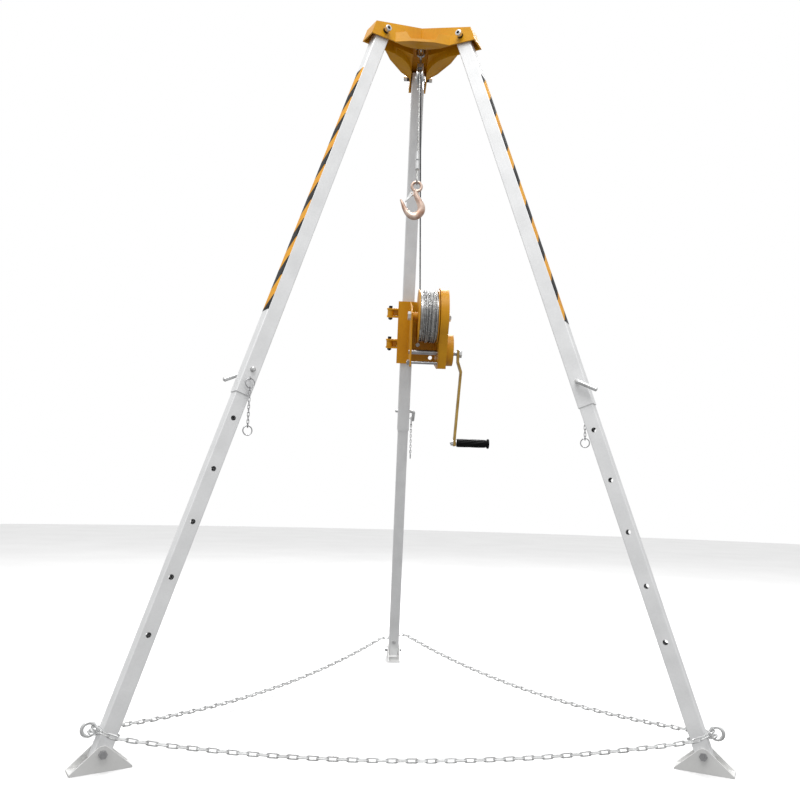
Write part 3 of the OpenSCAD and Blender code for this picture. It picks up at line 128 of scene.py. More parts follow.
def feed(tree, socket, x):
    """Input socket joined to another socket, or set to a colour or a number."""
    if isinstance(x, bpy.types.NodeSocket):
        tree.links.new(x, socket)
    elif isinstance(x, tuple):
        socket.default_value = (*x, 1)
    else:
        socket.default_value = x


def noise(tree, vector, scale, detail):
    """Noise texture whose scale is a number or a socket. Returns its value socket."""
    node = tree.nodes.new("ShaderNodeTexNoise")
    for label, x in (("Vector", vector), ("Scale", scale), ("Detail", detail)):
        feed(tree, node.inputs[label], x)
    return node.outputs["Fac"]


def span(tree, value, low, high, to_low=0.0, to_high=1.0):
    """Value from low to high taken to the range to_low to to_high, each a number or a socket."""
    node = tree.nodes.new("ShaderNodeMapRange")
    feed(tree, node.inputs["Value"], value)
    for label, x in (("From Min", low), ("From Max", high), ("To Min", to_low), ("To Max", to_high)):
        feed(tree, node.inputs[label], x)
    return node.outputs["Result"]


def mix_colour(tree, factor, a, b):
    """Colour a where the factor is 0 and b where it is 1; a and b are colours or sockets."""
    node = tree.nodes.new("ShaderNodeMix")
    node.data_type = "RGBA"
    for socket, x in (("Factor", factor), (MIX_A, a), (MIX_B, b)):
        feed(tree, node.inputs[socket], x)
    return node.outputs[MIX_RESULT]


def math_node(tree, operation, a, b):
    """One step of arithmetic on two sockets or numbers."""
    node = tree.nodes.new("ShaderNodeMath")
    node.operation = operation
    feed(tree, node.inputs[0], a)
    feed(tree, node.inputs[1], b)
    return node.outputs[0]


def make_tone():
    """Two shades of one colour in soft clouds, with finer specks over them."""
    tree, ins, outs = new_group("tone", TONE_IN, {"Color": "Color"})
    speck_scale = math_node(tree, "MULTIPLY", ins.outputs["Scale"], SPECK_SCALE)
    cloud = noise(tree, ins.outputs["Vector"], ins.outputs["Scale"], detail=4.0)
    speck = noise(tree, ins.outputs["Vector"], speck_scale, detail=2.0)
    both = math_node(
        tree, "ADD",
        math_node(tree, "MULTIPLY", cloud, 1 - SPECK_SHARE), math_node(tree, "MULTIPLY", speck, SPECK_SHARE),
    )
    mask = span(tree, both, *TONE_SPAN)
    colour = mix_colour(tree, mask, ins.outputs["Dark"], ins.outputs["Light"])
    tree.links.new(colour, outs.inputs["Color"])
    return tree


def make_peel():
    """Fine waviness of a sprayed or moulded skin: its height, and gloss that varies in broad patches."""
    tree, ins, outs = new_group("peel", SKIN_IN, SKIN_OUT)
    fine = noise(tree, ins.outputs["Vector"], ins.outputs["Scale"], detail=2.0)
    patch = noise(tree, ins.outputs["Vector"], PATCH_SCALE, detail=3.0)
    roughness = span(tree, patch, *PATCH_SPAN, ins.outputs["Gloss"], ins.outputs["Dull"])
    tree.links.new(fine, outs.inputs["Height"])
    tree.links.new(roughness, outs.inputs["Roughness"])
    return tree


def make_streaks():
    """Lines drawn along the third axis of the vector: their height, and gloss that varies by line."""
    tree, ins, outs = new_group("streaks", SKIN_IN, SKIN_OUT)
    stretch = tree.nodes.new("ShaderNodeVectorMath")
    stretch.operation = "MULTIPLY"
    stretch.inputs[1].default_value = STREAK_STRETCH
    tree.links.new(ins.outputs["Vector"], stretch.inputs[0])
    lines = noise(tree, stretch.outputs[0], ins.outputs["Scale"], detail=3.0)
    roughness = span(tree, lines, *STREAK_SPAN, ins.outputs["Gloss"], ins.outputs["Dull"])
    tree.links.new(lines, outs.inputs["Height"])
    tree.links.new(roughness, outs.inputs["Roughness"])
    return tree


TONE = make_tone()
PEEL = make_peel()
STREAKS = make_streaks()

# Finishes
BUMP_DEPTH = 0.0002
DRAWN_BUMP = 0.2
TAPE_BUMP = 0.1
STRIPE_PITCH = 0.121
STRIPE_START = -0.012
BAND_EDGE = (0.49, 0.51)
# Share outwards over which the painted shade between turns gives way to the wire's tone
TURN_TOP = (0.55, 0.98)


def new_finish(name, **constants):
    """Material with a Principled shader whose constant sockets are set.

    Returns the material, its tree and the shader."""
    material = bpy.data.materials.new(name)
    material.use_nodes = True
    tree = material.node_tree
    shader = tree.nodes["Principled BSDF"]
    for label, value in constants.items():
        shader.inputs[label.replace("_", " ")].default_value = value
    return material, tree, shader


def place(tree, group, vector, **values):
    """Node that holds a shared group, fed with a vector and its own values."""
    node = tree.nodes.new("ShaderNodeGroup")
    node.node_tree = group
    tree.links.new(vector, node.inputs["Vector"])
    for label, value in values.items():
        feed(tree, node.inputs[label], value)
    return node


def object_vector(tree, turned=(0.0, 0.0, 0.0)):
    """The piece's own coordinates, turned so that the third axis runs along its grain."""
    where = tree.nodes.new("ShaderNodeTexCoord")
    mapping = tree.nodes.new("ShaderNodeMapping")
    mapping.vector_type = "TEXTURE"
    mapping.inputs["Rotation"].default_value = turned
    tree.links.new(where.outputs["Object"], mapping.inputs["Vector"])
    return mapping.outputs["Vector"]


def map_axes(tree):
    """The two axes of the piece's own map, as sockets."""
    where = tree.nodes.new("ShaderNodeTexCoord")
    split = tree.nodes.new("ShaderNodeSeparateXYZ")
    tree.links.new(where.outputs["UV"], split.inputs["Vector"])
    return split.outputs["X"], split.outputs["Y"]


def dress(tree, shader, colour, skin, strength=0.0):
    """Colour and a skin's gloss joined to the shader, and a bump by the skin's height if it has strength."""
    tree.links.new(colour, shader.inputs["Base Color"])
    tree.links.new(skin.outputs["Roughness"], shader.inputs["Roughness"])
    if strength:
        node = tree.nodes.new("ShaderNodeBump")
        node.inputs["Strength"].default_value = strength
        node.inputs["Distance"].default_value = BUMP_DEPTH
        tree.links.new(skin.outputs["Height"], node.inputs["Height"])
        tree.links.new(node.outputs["Normal"], shader.inputs["Normal"])


def coated(name, dark, light, gloss, dull, scale=9.0, peel=900.0, strength=0.25, **constants):
    """Sprayed, plated or moulded skin: two close shades, fine waviness and uneven gloss."""
    material, tree, shader = new_finish(name, **constants)
    vector = object_vector(tree)
    tone = place(tree, TONE, vector, Scale=scale, Dark=dark, Light=light)
    skin = place(tree, PEEL, vector, Scale=peel, Gloss=gloss, Dull=dull)
    dress(tree, shader, tone.outputs["Color"], skin, strength)
    return material


def drawn(name, dark, light, gloss, dull, turned=(0.0, 0.0, 0.0), scale=16.0, lines=700.0, **constants):
    """Bare drawn or brushed metal: lines along the grain, clouded shades and uneven gloss."""
    material, tree, shader = new_finish(name, **constants)
    vector = object_vector(tree, turned)
    tone = place(tree, TONE, vector, Scale=scale, Dark=dark, Light=light)
    grain = place(tree, STREAKS, vector, Scale=lines, Gloss=gloss, Dull=dull)
    dress(tree, shader, tone.outputs["Color"], grain, DRAWN_BUMP)
    return material


def striped(name, pitch, start):
    """Warning tape: slanting bands of two colours along the piece's own map, which is in metres."""
    material, tree, shader = new_finish(name, Specular_IOR_Level=0.15)
    along, across = map_axes(tree)
    slant = math_node(tree, "ADD", math_node(tree, "ADD", along, across), start)
    band = math_node(tree, "FRACT", math_node(tree, "DIVIDE", slant, pitch), 0.0)
    vector = object_vector(tree)
    yellow = place(tree, TONE, vector, Scale=20.0, Dark=(0.72, 0.31, 0.02), Light=(0.86, 0.42, 0.03))
    black = place(tree, TONE, vector, Scale=20.0, Dark=(0.012, 0.013, 0.014), Light=(0.03, 0.031, 0.033))
    skin = place(tree, PEEL, vector, Scale=500.0, Gloss=0.5, Dull=0.65)
    colour = mix_colour(tree, span(tree, band, *BAND_EDGE), yellow.outputs["Color"], black.outputs["Color"])
    dress(tree, shader, colour, skin, TAPE_BUMP)
    return material


def wound(name, painted_shade, dark, light, gloss, dull):
    """Wire rope on a drum: painted shade, near black, on the inward part of each turn and between turns, and
    the wire's clouded shades on top of each turn.

    The second axis of the piece's map is the share outwards."""
    material, tree, shader = new_finish(name, Metallic=0.9)
    outwards = map_axes(tree)[1]
    vector = object_vector(tree)
    tone = place(tree, TONE, vector, Scale=90.0, Dark=dark, Light=light)
    skin = place(tree, PEEL, vector, Scale=900.0, Gloss=gloss, Dull=dull)
    # Painted shade: near black on the inward part of each turn's section, where the turns shade each other
    colour = mix_colour(tree, span(tree, outwards, *TURN_TOP), painted_shade, tone.outputs["Color"])
    dress(tree, shader, colour, skin)
    return material


def leg_turn(leg):
    """Turn of a leg's grain: its lean about the sideways axis, then its place round the tripod."""
    return (0.0, -TILT, LEG_ANGLE[leg])


COATS = {
    "yellow_coat": dict(
        dark=(0.62, 0.272, 0.003), light=(0.74, 0.35, 0.006), gloss=0.3, dull=0.44, Specular_IOR_Level=0.35,
    ),
    "hook_coat": dict(
        dark=(0.46, 0.26, 0.18), light=(0.86, 0.7, 0.6), gloss=0.22, dull=0.45, scale=40.0, peel=500.0,
        strength=0.4, Metallic=0.7,
    ),
    "grip_plastic": dict(
        dark=(0.002, 0.002, 0.002), light=(0.005, 0.005, 0.005), gloss=0.4, dull=0.55, peel=1500.0,
        Specular_IOR_Level=0.12,
    ),
    "gold_plate": dict(
        dark=(0.3, 0.18, 0.04), light=(0.5, 0.33, 0.09), gloss=0.3, dull=0.45, scale=30.0, Metallic=0.7,
    ),
    # black_steel also serves as painted shade on the pivot bushes and inside the screw sockets
    "black_steel": dict(
        dark=(0.01, 0.01, 0.011), light=(0.03, 0.03, 0.032), gloss=0.3, dull=0.45, scale=60.0, Metallic=0.3,
    ),
    "friction_lining": dict(
        dark=(0.05, 0.04, 0.035), light=(0.11, 0.09, 0.08), gloss=0.7, dull=0.9, scale=120.0, peel=600.0,
        strength=0.6,
    ),
    "zinc_steel": dict(
        dark=(0.6, 0.6, 0.6), light=(0.82, 0.83, 0.83), gloss=0.24, dull=0.42, scale=45.0, peel=700.0,
        strength=0.12, Metallic=0.85,
    ),
    "foot_zinc": dict(
        dark=(0.76, 0.76, 0.75), light=(0.83, 0.83, 0.82), gloss=0.36, dull=0.5, scale=7.0, strength=0.1,
        Metallic=0.4,
    ),
}
METALS = {
    "plain_steel": dict(dark=(0.4, 0.4, 0.41), light=(0.58, 0.58, 0.59), gloss=0.25, dull=0.4, Metallic=1.0),
    # taut_wire is rope_wire's finish in darker shades: painted shade for the rising rope
    "taut_wire": dict(
        dark=(0.14, 0.145, 0.15), light=(0.3, 0.305, 0.31), gloss=0.35, dull=0.5, scale=90.0, lines=1500.0,
        Metallic=1.0,
    ),
    "rope_wire": dict(
        dark=(0.42, 0.42, 0.41), light=(0.75, 0.75, 0.74), gloss=0.28, dull=0.45, scale=90.0, lines=1500.0,
        Metallic=1.0,
    ),
}
LEG_LOOK = dict(dark=(0.81, 0.815, 0.82), light=(0.89, 0.895, 0.9), gloss=0.42, dull=0.56, Metallic=0.4)
finish = {name: coated(name, **look) for name, look in COATS.items()}
finish.update({name: drawn(name, **look) for name, look in METALS.items()})
# The wound rope's tone is painted brighter than the free rope's, as a painted highlight, over near-black
# painted shade
finish["wound_wire"] = wound(
    "wound_wire", painted_shade=(0.05, 0.05, 0.05), dark=(0.62, 0.62, 0.61), light=(0.95, 0.95, 0.94), gloss=0.22,
    dull=0.36,
)
leg_metal = {leg: drawn("leg_aluminium_" + leg, turned=leg_turn(leg), **LEG_LOOK) for leg in LEG_ANGLE}
warning_tape = striped("warning_tape", STRIPE_PITCH, STRIPE_START)


def finish_for(node):
    """Finish of a CAD node's slot; a leg's tube has its grain along its own leg."""
    if slot_of[node] == "leg_aluminium":
        return leg_metal[node.rsplit("_", 1)[1]]
    return finish[slot_of[node]]


# The pivot bushes take the black finish as painted shade on their barrels, which lie in shadow
own_finish = {"crank_arm": finish["gold_plate"], "pivot_bushes": finish["black_steel"]}
for leg in LEG_ANGLE:
    own_finish["foot_" + leg] = finish["foot_zinc"]
    own_finish["foot_bolt_" + leg] = finish["plain_steel"]
for node_name, node_object in nodes.items():
    node_object.data.materials.clear()
    node_object.data.materials.append(own_finish.get(node_name) or finish_for(node_name))

# Surfaces
SHARP_EDGE = radians(40)


def node_box(node):
    """Lowest and highest corner of a CAD node, in millimetres."""
    points = np.zeros(len(nodes[node].data.vertices) * 3, np.float32)
    nodes[node].data.vertices.foreach_get("co", points)
    points = points.reshape(-1, 3) / MM
    return points.min(0), points.max(0)


def grid_quads(rows, cols, loop=False):
    """Four-sided faces of a grid of points whose last column joins the first; loop joins the rows too."""
    i, j = np.meshgrid(np.arange(rows if loop else rows - 1), np.arange(cols), indexing="ij")
    i2 = (i + 1) % rows
    j2 = (j + 1) % cols
    return np.stack([i * cols + j, i * cols + j2, i2 * cols + j2, i2 * cols + j], -1).reshape(-1, 4)


def carry(path, out, section, loop=False):
    """Section (across, out) at each point of a path.

    The outward line is squared to the path, and across lies square to both."""
    path = np.asarray(path, float)
    if loop:
        along = np.roll(path, -1, 0) - np.roll(path, 1, 0)
    else:
        along = np.gradient(path, axis=0)
    along /= np.linalg.norm(along, axis=1, keepdims=True)
    out = np.broadcast_to(np.asarray(out, float), path.shape)
    out = out - np.sum(out * along, 1, keepdims=True) * along
    out /= np.linalg.norm(out, axis=1, keepdims=True)
    across = np.cross(out, along)
    section = np.broadcast_to(section, (len(path), *np.shape(section)[-2:]))
    return path[:, None] + section[..., :1] * across[:, None] + section[..., 1:] * out[:, None]


def circle(sides, r=1.0):
    """Points of a circle, counted round from the across axis."""
    a = np.arange(sides) * 2 * pi / sides
    return r * np.stack([np.cos(a), np.sin(a)], -1)


def run_along(path):
    """Length of a path from its start to each of its points."""
    return np.concatenate([[0], np.cumsum(np.linalg.norm(np.diff(path, axis=0), axis=1))])


def between(at, known, points):
    """Points at the given places along a line whose own points lie at the known places."""
    return np.stack([np.interp(at, known, points[:, k]) for k in range(3)], -1)


def resample(path, step):
    """Points along a path at even runs of about the given step."""
    path = np.asarray(path, float)
    runs = run_along(path)
    return between(np.linspace(0, runs[-1], max(2, int(runs[-1] / step) + 1)), runs, path)


def smooth_curve(points, steps):
    """Curve through points: a cubic between neighbours whose slope at a point joins its two neighbours."""
    p = np.asarray(points, float)
    a = p[np.maximum(np.arange(len(p) - 1) - 1, 0)][:, None]
    b = p[:-1][:, None]
    c = p[1:][:, None]
    d = p[np.minimum(np.arange(len(p) - 1) + 2, len(p) - 1)][:, None]
    u = (np.arange(steps) / steps)[None, :, None]
    curve = b + u * ((c - a) + u * ((2 * a - 5 * b + 4 * c - d) + u * (3 * b - a - 3 * c + d))) / 2
    return np.concatenate([curve.reshape(-1, p.shape[1]), p[-1:]])


def add_object(name, data):
    """Object for a mesh, a light or a camera, put into the scene."""
    added = bpy.data.objects.new(name, data)
    bpy.context.scene.collection.objects.link(added)
    return added


def new_piece(name, shells, material, replaced=()):
    """Mesh object from shells, each (points, faces, map); points in millimetres, faces outwards."""
    points, faces, maps = [], [], []
    count = 0
    for shell_points, shell_faces, shell_map in shells:
        flat = np.asarray(shell_points, float).reshape(-1, 3)
        points.append(flat)
        faces.extend([[int(v) + count for v in face] for face in shell_faces])
        maps.append(np.reshape(shell_map, (-1, 2)))
        count += len(flat)
    mesh = bpy.data.meshes.new(name)
    mesh.from_pydata((np.concatenate(points) * MM).tolist(), [], faces)
    corner = np.zeros(len(mesh.loops), np.int32)
    mesh.loops.foreach_get("vertex_index", corner)
    layer = mesh.uv_layers.new(name="UVMap")
    layer.data.foreach_set("uv", np.concatenate(maps)[corner].astype(np.float32).ravel())
    mesh.shade_smooth()
    mesh.set_sharp_from_angle(angle=SHARP_EDGE)
    mesh.materials.append(material)
    piece = add_object(name, mesh)
    if replaced:
        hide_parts(*replaced)
    return piece


def tube_shell(grid, along=None, loop=False):
    """Shell of a carried section, its ends closed unless it is a loop.

    The map is the run along the shell and the share round it."""
    rows, cols = grid.shape[:2]
    faces = [tuple(q) for q in grid_quads(rows, cols, loop)]
    if not loop:
        faces.append(tuple(range(cols))[::-1])
        faces.append(tuple((rows - 1) * cols + k for k in range(cols)))
    if along is None:
        along = np.linspace(0, 1, rows)
    share = np.broadcast_to(np.arange(cols) / cols, (rows, cols))
    return grid, faces, np.stack([np.broadcast_to(along[:, None], (rows, cols)), share], -1)


# Wire rope from the drum over the sheave to the hook
STRANDS = 6
STRAND_SIDES = 4
LAY = 34.0
ROPE_GAP = 0.3
ROPE_STRAIGHT = 4 * ROPE_R
TANGENT = radians(25.1236)
ROPE_LOW = np.array([0, 343.1, -665.43])
FERRULE_TOP = 1676.0
RISE_POINTS = 24
OVER_POINTS = 15
FALL_POINTS = 13


def rope_section(runs):
    """Outline of six strands laid round a core, turned once in each lay.

    A strand is a circle of a third of the rope's radius; at an angle q from its middle the outline lies at
    (2/3) cos q + sqrt(1/9 - (4/9) sin(q)^2), times the rope's radius."""
    a = np.arange(STRANDS * STRAND_SIDES) * 2 * pi / (STRANDS * STRAND_SIDES)
    q = (a + pi / STRANDS) % (2 * pi / STRANDS) - pi / STRANDS
    r = ROPE_R * (2 / 3 * np.cos(q) + np.sqrt(np.maximum(1 / 9 - 4 / 9 * np.sin(q) ** 2, 0)))
    at = a[None, :] + 2 * pi * np.asarray(runs)[:, None] / LAY
    return np.stack([r * np.cos(at), r * np.sin(at)], -1)


def rope_shell(path, out, step=2.6):
    """Stranded outline of the rope carried along a path; the map is the run and the share outwards."""
    line = resample(path, step)
    runs = run_along(line)
    if np.ndim(out) > 1:
        out = between(np.linspace(0, len(out) - 1, len(line)), np.arange(len(out)), out)
    section = rope_section(runs)
    grid, faces, run_map = tube_shell(carry(line, out, section), runs * MM)
    run_map[..., 1] = 0.5 + section[..., 1] / (2 * ROPE_R)
    return grid, faces, run_map


rope_leave = SHEAVE_R * np.array([0, cos(TANGENT), sin(TANGENT)])
rope_dir = (rope_leave - ROPE_LOW) / np.linalg.norm(rope_leave - ROPE_LOW)
rope_join = rope_leave - ROPE_STRAIGHT * rope_dir
rope_side = np.array([1.0, 0, 0]) @ turn("Z", -ROPE_YAW)
rise = rope_to_row(np.linspace(ROPE_LOW + (2 * ROPE_R + ROPE_GAP) * rope_dir, rope_join, RISE_POINTS))
over = np.linspace(TANGENT, pi, OVER_POINTS)
fall = rope_to_row(np.concatenate([
    rope_join[None],
    np.stack([0 * over, SHEAVE_R * np.cos(over), SHEAVE_R * np.sin(over)], -1),
    np.linspace((0, -SHEAVE_R, 0), (0, -SHEAVE_R, FERRULE_TOP - SHEAVE_AT[2]), FALL_POINTS)[1:],
]))
# The rising rope takes the darker taut_wire finish as painted shade
rope_rise = new_piece(
    "rope_rise", [rope_shell(rise, rope_side)], finish["taut_wire"], ["rope_up"]
)
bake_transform(rope_rise)
rope_drop = new_piece(
    "rope_drop", [rope_shell(fall, rope_side)], finish["rope_wire"], ["rope_fall"]
)
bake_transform(rope_drop)

# Rope on the drum: a closed layer, looser turns that cross over it, and a turn beside the left flange
TURN_POINTS = 72
WINDING_STEP = 3.0
WINDING_R = 83.4
WINDING_TURNS = 9
WINDING_PITCH = 5.6
WINDING_X = 40.0
LEAVE = TANGENT - TILT
UPPER_TURNS = 5
UPPER_LIFT = 4.1
UPPER_X = 88.5
UPPER_SHIFT = 40.0
UPPER_START = 2.2
SWAY = 3.0
SWAYS_PER_TURN = 1.37
SWAY_START = 0.2
FLANGE_TURNS = 0.97
FLANGE_X = WINDING_X - 0.95 * WINDING_PITCH
FLANGE_START = 3.9
END_DIP = 5.5
UPPER_DIP_RUN = 0.06
FLANGE_DIP_RUN = 0.04


def winding(x, r, a):
    """Points round the drum's axle at places x along it, radius r and angle a, and their outward lines."""
    out = np.stack([0 * a, np.cos(a), np.sin(a)], -1)
    middle = np.stack([x + 0 * a, 0 * a, 0 * a], -1)
    return winch_to_row(middle + np.reshape(r + 0 * a, (-1, 1)) * out), out @ turn("X", TILT)


def end_dip(turns, run):
    """Depth by which a run of rope dips below its layer near both of its ends."""
    return END_DIP * (np.exp(-(turns / run) ** 2) + np.exp(-((turns[-1] - turns) / run) ** 2))


lower_left = WINDING_TURNS - np.linspace(0, WINDING_TURNS, WINDING_TURNS * TURN_POINTS + 1)
upper_turn = np.linspace(0, UPPER_TURNS, UPPER_TURNS * TURN_POINTS + 1)
upper_share = upper_turn / UPPER_TURNS
upper_sway = SWAY * np.sin(2 * pi * (SWAYS_PER_TURN * upper_turn + SWAY_START)) * np.sin(pi * upper_share)
flange_turn = np.linspace(0, FLANGE_TURNS, TURN_POINTS)
windings = [
    winding(WINDING_X + lower_left * WINDING_PITCH, WINDING_R, LEAVE - 2 * pi * lower_left),
    winding(
        UPPER_X - UPPER_SHIFT * upper_share + upper_sway,
        WINDING_R + UPPER_LIFT - end_dip(upper_turn, UPPER_DIP_RUN), 2 * pi * upper_turn + UPPER_START,
    ),
    winding(FLANGE_X, WINDING_R - end_dip(flange_turn, FLANGE_DIP_RUN), 2 * pi * flange_turn + FLANGE_START),
]
rope_turns = new_piece(
    "rope_turns", [rope_shell(line, out, WINDING_STEP) for line, out in windings], finish["wound_wire"],
    ["rope_winding"],
)
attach(rope_turns, "winch_drum")

# Rope loop through the hook's eye
HOOK_EYE_R = 14.5
HOOK_EYE_WIRE_R = 4.5
EYE_LOOP_R = 10.0
FERRULE_INSET = 4.0
LOOP_TOP = 55.0
LOOP_SIDE_SHARE = 0.8
LOOP_SIDE_POINTS = 9
LOOP_BOW_POINTS = 17
LOOP_STEP = 1.6


def eye_loop():
    """Line of the loop in the hook's axes: two sides down from the ferrules and a bow through the eye."""
    bow_z = HOOK_EYE_R - HOOK_EYE_WIRE_R - ROPE_GAP - ROPE_R + EYE_LOOP_R
    start_z = LOOP_TOP - 2 * ROPE_R
    u = np.linspace(0, LOOP_SIDE_SHARE, LOOP_SIDE_POINTS)
    side_y = FERRULE_INSET + (EYE_LOOP_R - FERRULE_INSET) * (1 - np.cos(pi * u)) / 2
    side_z = start_z + (bow_z - start_z) * u
    side = np.concatenate([[[FERRULE_INSET, LOOP_TOP]], np.stack([side_y, side_z], -1)])
    a = -np.linspace(0, pi, LOOP_BOW_POINTS)
    bow = np.stack([EYE_LOOP_R * np.cos(a), bow_z + EYE_LOOP_R * np.sin(a)], -1)
    return np.insert(np.concatenate([side, bow, side[::-1] * [-1, 1]]), 0, 0.0, axis=1)


rope_loop = new_piece(
    "rope_loop", [rope_shell(eye_loop() + HOOK_AT, (1, 0, 0), LOOP_STEP)], finish["rope_wire"],
    ["rope_eye"],
)
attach(rope_loop, "lifting_hook")

# Chains between the feet: real links on one hanging line, in four stretches
EYE_S = 39.0
END_LIFT = 7.0
END_X = 31.38
END_Y = -4.3
END_INSIDE = 13.5
BEND_START = 14.0
BEND_R = 64.0
BEND_ANGLE = radians(60)
BEND_POINTS = 9
CHAIN_SAG = 44.0
HANG_POINTS = 41
LINKS = 67
LINK_SIDES = 6
LINK_BOW_POINTS = 7
LINK_INSIDE = 4.8
LINK_WIRE_R = 1.9
LINK_SLACK = 0.6
CHAIN_CUTS = [0, 17, 33, 50, LINKS]


def chain_bend(leg, side, lift):
    """Line of a chain's end from the leg's eye round the tube's corner: a short run, then an arc."""
    a = np.linspace(0, BEND_ANGLE, BEND_POINTS)
    x = np.concatenate([[END_X], END_X - BEND_R * (1 - np.cos(a))])
    y = np.concatenate([[END_Y], BEND_START + BEND_R * np.sin(a)])
    z = np.full(len(x), EYE_S - LEG_LEN + lift * END_LIFT)
    return leg_to_row(leg, np.stack([x, side * y, z], -1))


def chain_line(first, last, lifts):
    """Line of a chain: the end bends joined by a parabola that sags by 4 sag u (1 - u)."""
    start = chain_bend(first, 1, lifts[0])
    end = chain_bend(last, -1, lifts[1])[::-1]
    u = np.linspace(0, 1, HANG_POINTS)[1:-1, None]
    hang = start[-1] + (end[0] - start[-1]) * u - np.array([0, 0, 4 * CHAIN_SAG]) * u * (1 - u)
    return np.concatenate([start, hang, end])


def link_grid(inside_len, inside_w):
    """Link of round wire: a circle carried round a line of two half circles and two straight sides."""
    bow_r = inside_w / 2 + LINK_WIRE_R
    half = (inside_len - inside_w) / 2
    a = np.linspace(-pi / 2, pi / 2, LINK_BOW_POINTS)
    bow = np.stack([half + bow_r * np.cos(a), bow_r * np.sin(a), 0 * a], -1)
    line = np.concatenate([bow, bow * [-1, -1, 1]])
    return carry(line, (0, 0, 1), circle(LINK_SIDES, LINK_WIRE_R), loop=True)


def chain_shells(line):
    """Shells of a chain's links in order, each turned by a right angle, and the joints between them."""
    runs = run_along(line)
    joints = between(np.linspace(0, runs[-1], LINKS + 1), runs, line)
    shells = []
    for k, (a, b) in enumerate(zip(joints[:-1], joints[1:])):
        d = b - a
        length = np.linalg.norm(d)
        end = k in (0, LINKS - 1)
        roll = -TILT if end else k % 2 * pi / 2
        lean = -np.arcsin(d[2] / length)
        heading = np.arctan2(d[1], d[0])
        grid = link_grid(length + LINK_SLACK, END_INSIDE if end else LINK_INSIDE)
        place_link = turn("X", roll) @ turn("Y", lean) @ turn("Z", heading)
        shells.append(tube_shell(grid @ place_link + (a + b) / 2, loop=True))
    return shells, joints


for chain, first, last, lifts in (
    ("front", "left", "right", (1, 1)),
    ("right", "right", "rear", (-1, 1)),
    ("left", "rear", "left", (-1, -1)),
):
    links, joints = chain_shells(chain_line(first, last, lifts))
    for k in range(len(CHAIN_CUTS) - 1):
        stretch = new_piece(
            f"chain_{chain}_{k + 1}", links[CHAIN_CUTS[k]:CHAIN_CUTS[k + 1]], finish["zinc_steel"],
            ["chain_" + chain],
        )
        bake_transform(stretch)

# Hook: a forging with an oval section that swells to the bowl and thins to the tip, and a round eye
HOOK_ROWS = [
    (-3, -17, 6.5, 6), (0, -30, 8, 6.5), (9, -47, 10, 7), (16, -64, 11.5, 7.5), (14, -80, 12, 7.5),
    (3, -92, 12, 7.5), (-11, -95, 11, 7.5), (-25, -87, 9, 7), (-35, -72, 7, 6), (-42, -56, 5, 5),
    (-48, -44, 2.5, 3),
]
HOOK_STEPS = 6
HOOK_SIDES = 24
EYE_POINTS = 48
WIRE_SIDES = 20
LATCH_AT = np.array([-15.0, -24.0])
LUG_R = 5.5
LUG_POINTS = 13
LUG_HALF = 3.0
LUG_EDGE = 0.6
LUG_ROOT = [(0, -30), (0, -20)]
PIN_ROWS = [(-6.0, 1.2), (-5.9, 1.7), (-5.6, 2.0), (5.6, 2.0), (5.9, 1.7), (6.0, 1.2)]


def plate_shell(outline, half, edge):
    """Plate across y from an outline in x and z, with its rims drawn in by a narrow edge."""
    middle = outline.mean(0)
    spoke = outline - middle
    inner = middle + spoke * (1 - edge / np.linalg.norm(spoke, axis=1, keepdims=True))
    layers = [(inner, -half), (outline, -half + edge), (outline, half - edge), (inner, half)]
    return tube_shell(np.stack([np.insert(o, 1, y, axis=1) for o, y in layers]))


hook_rows = smooth_curve(HOOK_ROWS, HOOK_STEPS)
hook_body = carry(
    np.insert(hook_rows[:, :2], 1, 0.0, axis=1), (0, 1, 0), circle(HOOK_SIDES) * hook_rows[:, None, 2:]
)
eye_line = np.insert(circle(EYE_POINTS, HOOK_EYE_R), 1, 0.0, axis=1)
hook_eye = carry(eye_line, (0, 1, 0), circle(WIRE_SIDES, HOOK_EYE_WIRE_R), loop=True)
lug = np.linspace(radians(90), radians(270), LUG_POINTS)
lug_outline = np.concatenate([LATCH_AT + LUG_R * np.stack([np.cos(lug), np.sin(lug)], -1), LUG_ROOT])
pin_y, pin_r = np.array(PIN_ROWS).T
pin_line = np.insert(np.tile(LATCH_AT, (len(pin_y), 1)), 1, pin_y, axis=1)
latch_pin = carry(pin_line, (0, 0, 1), circle(WIRE_SIDES) * pin_r[:, None, None])
hook_shells = [
    tube_shell(hook_body), tube_shell(hook_eye, loop=True), plate_shell(lug_outline, LUG_HALF, LUG_EDGE),
    tube_shell(latch_pin),
]
forged_hook = new_piece(
    "forged_hook", [(grid + HOOK_AT, faces, run_map) for grid, faces, run_map in hook_shells],
    finish["hook_coat"], ["hook"],
)
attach(forged_hook, "lifting_hook")

# Warning tape on the outward faces of the upper tubes
TAPE_TOP = -152.0
TAPE_LENGTH = 823.0
TAPE_T = 0.35
TAPE_WRAP = radians(60)
TAPE_WRAP_POINTS = 4
TAPE_ROWS = 9


def tape_side(r):
    """Points across the strip, level over the tube's face and turned down round its corners by radius r."""
    flat = TUBE_HALF - TUBE_CORNER_R
    a = np.linspace(0, TAPE_WRAP, TAPE_WRAP_POINTS)
    half = np.stack([flat + r * np.sin(a), flat + r * np.cos(a)], -1)
    return np.concatenate([half[::-1] * [-1, 1], half])


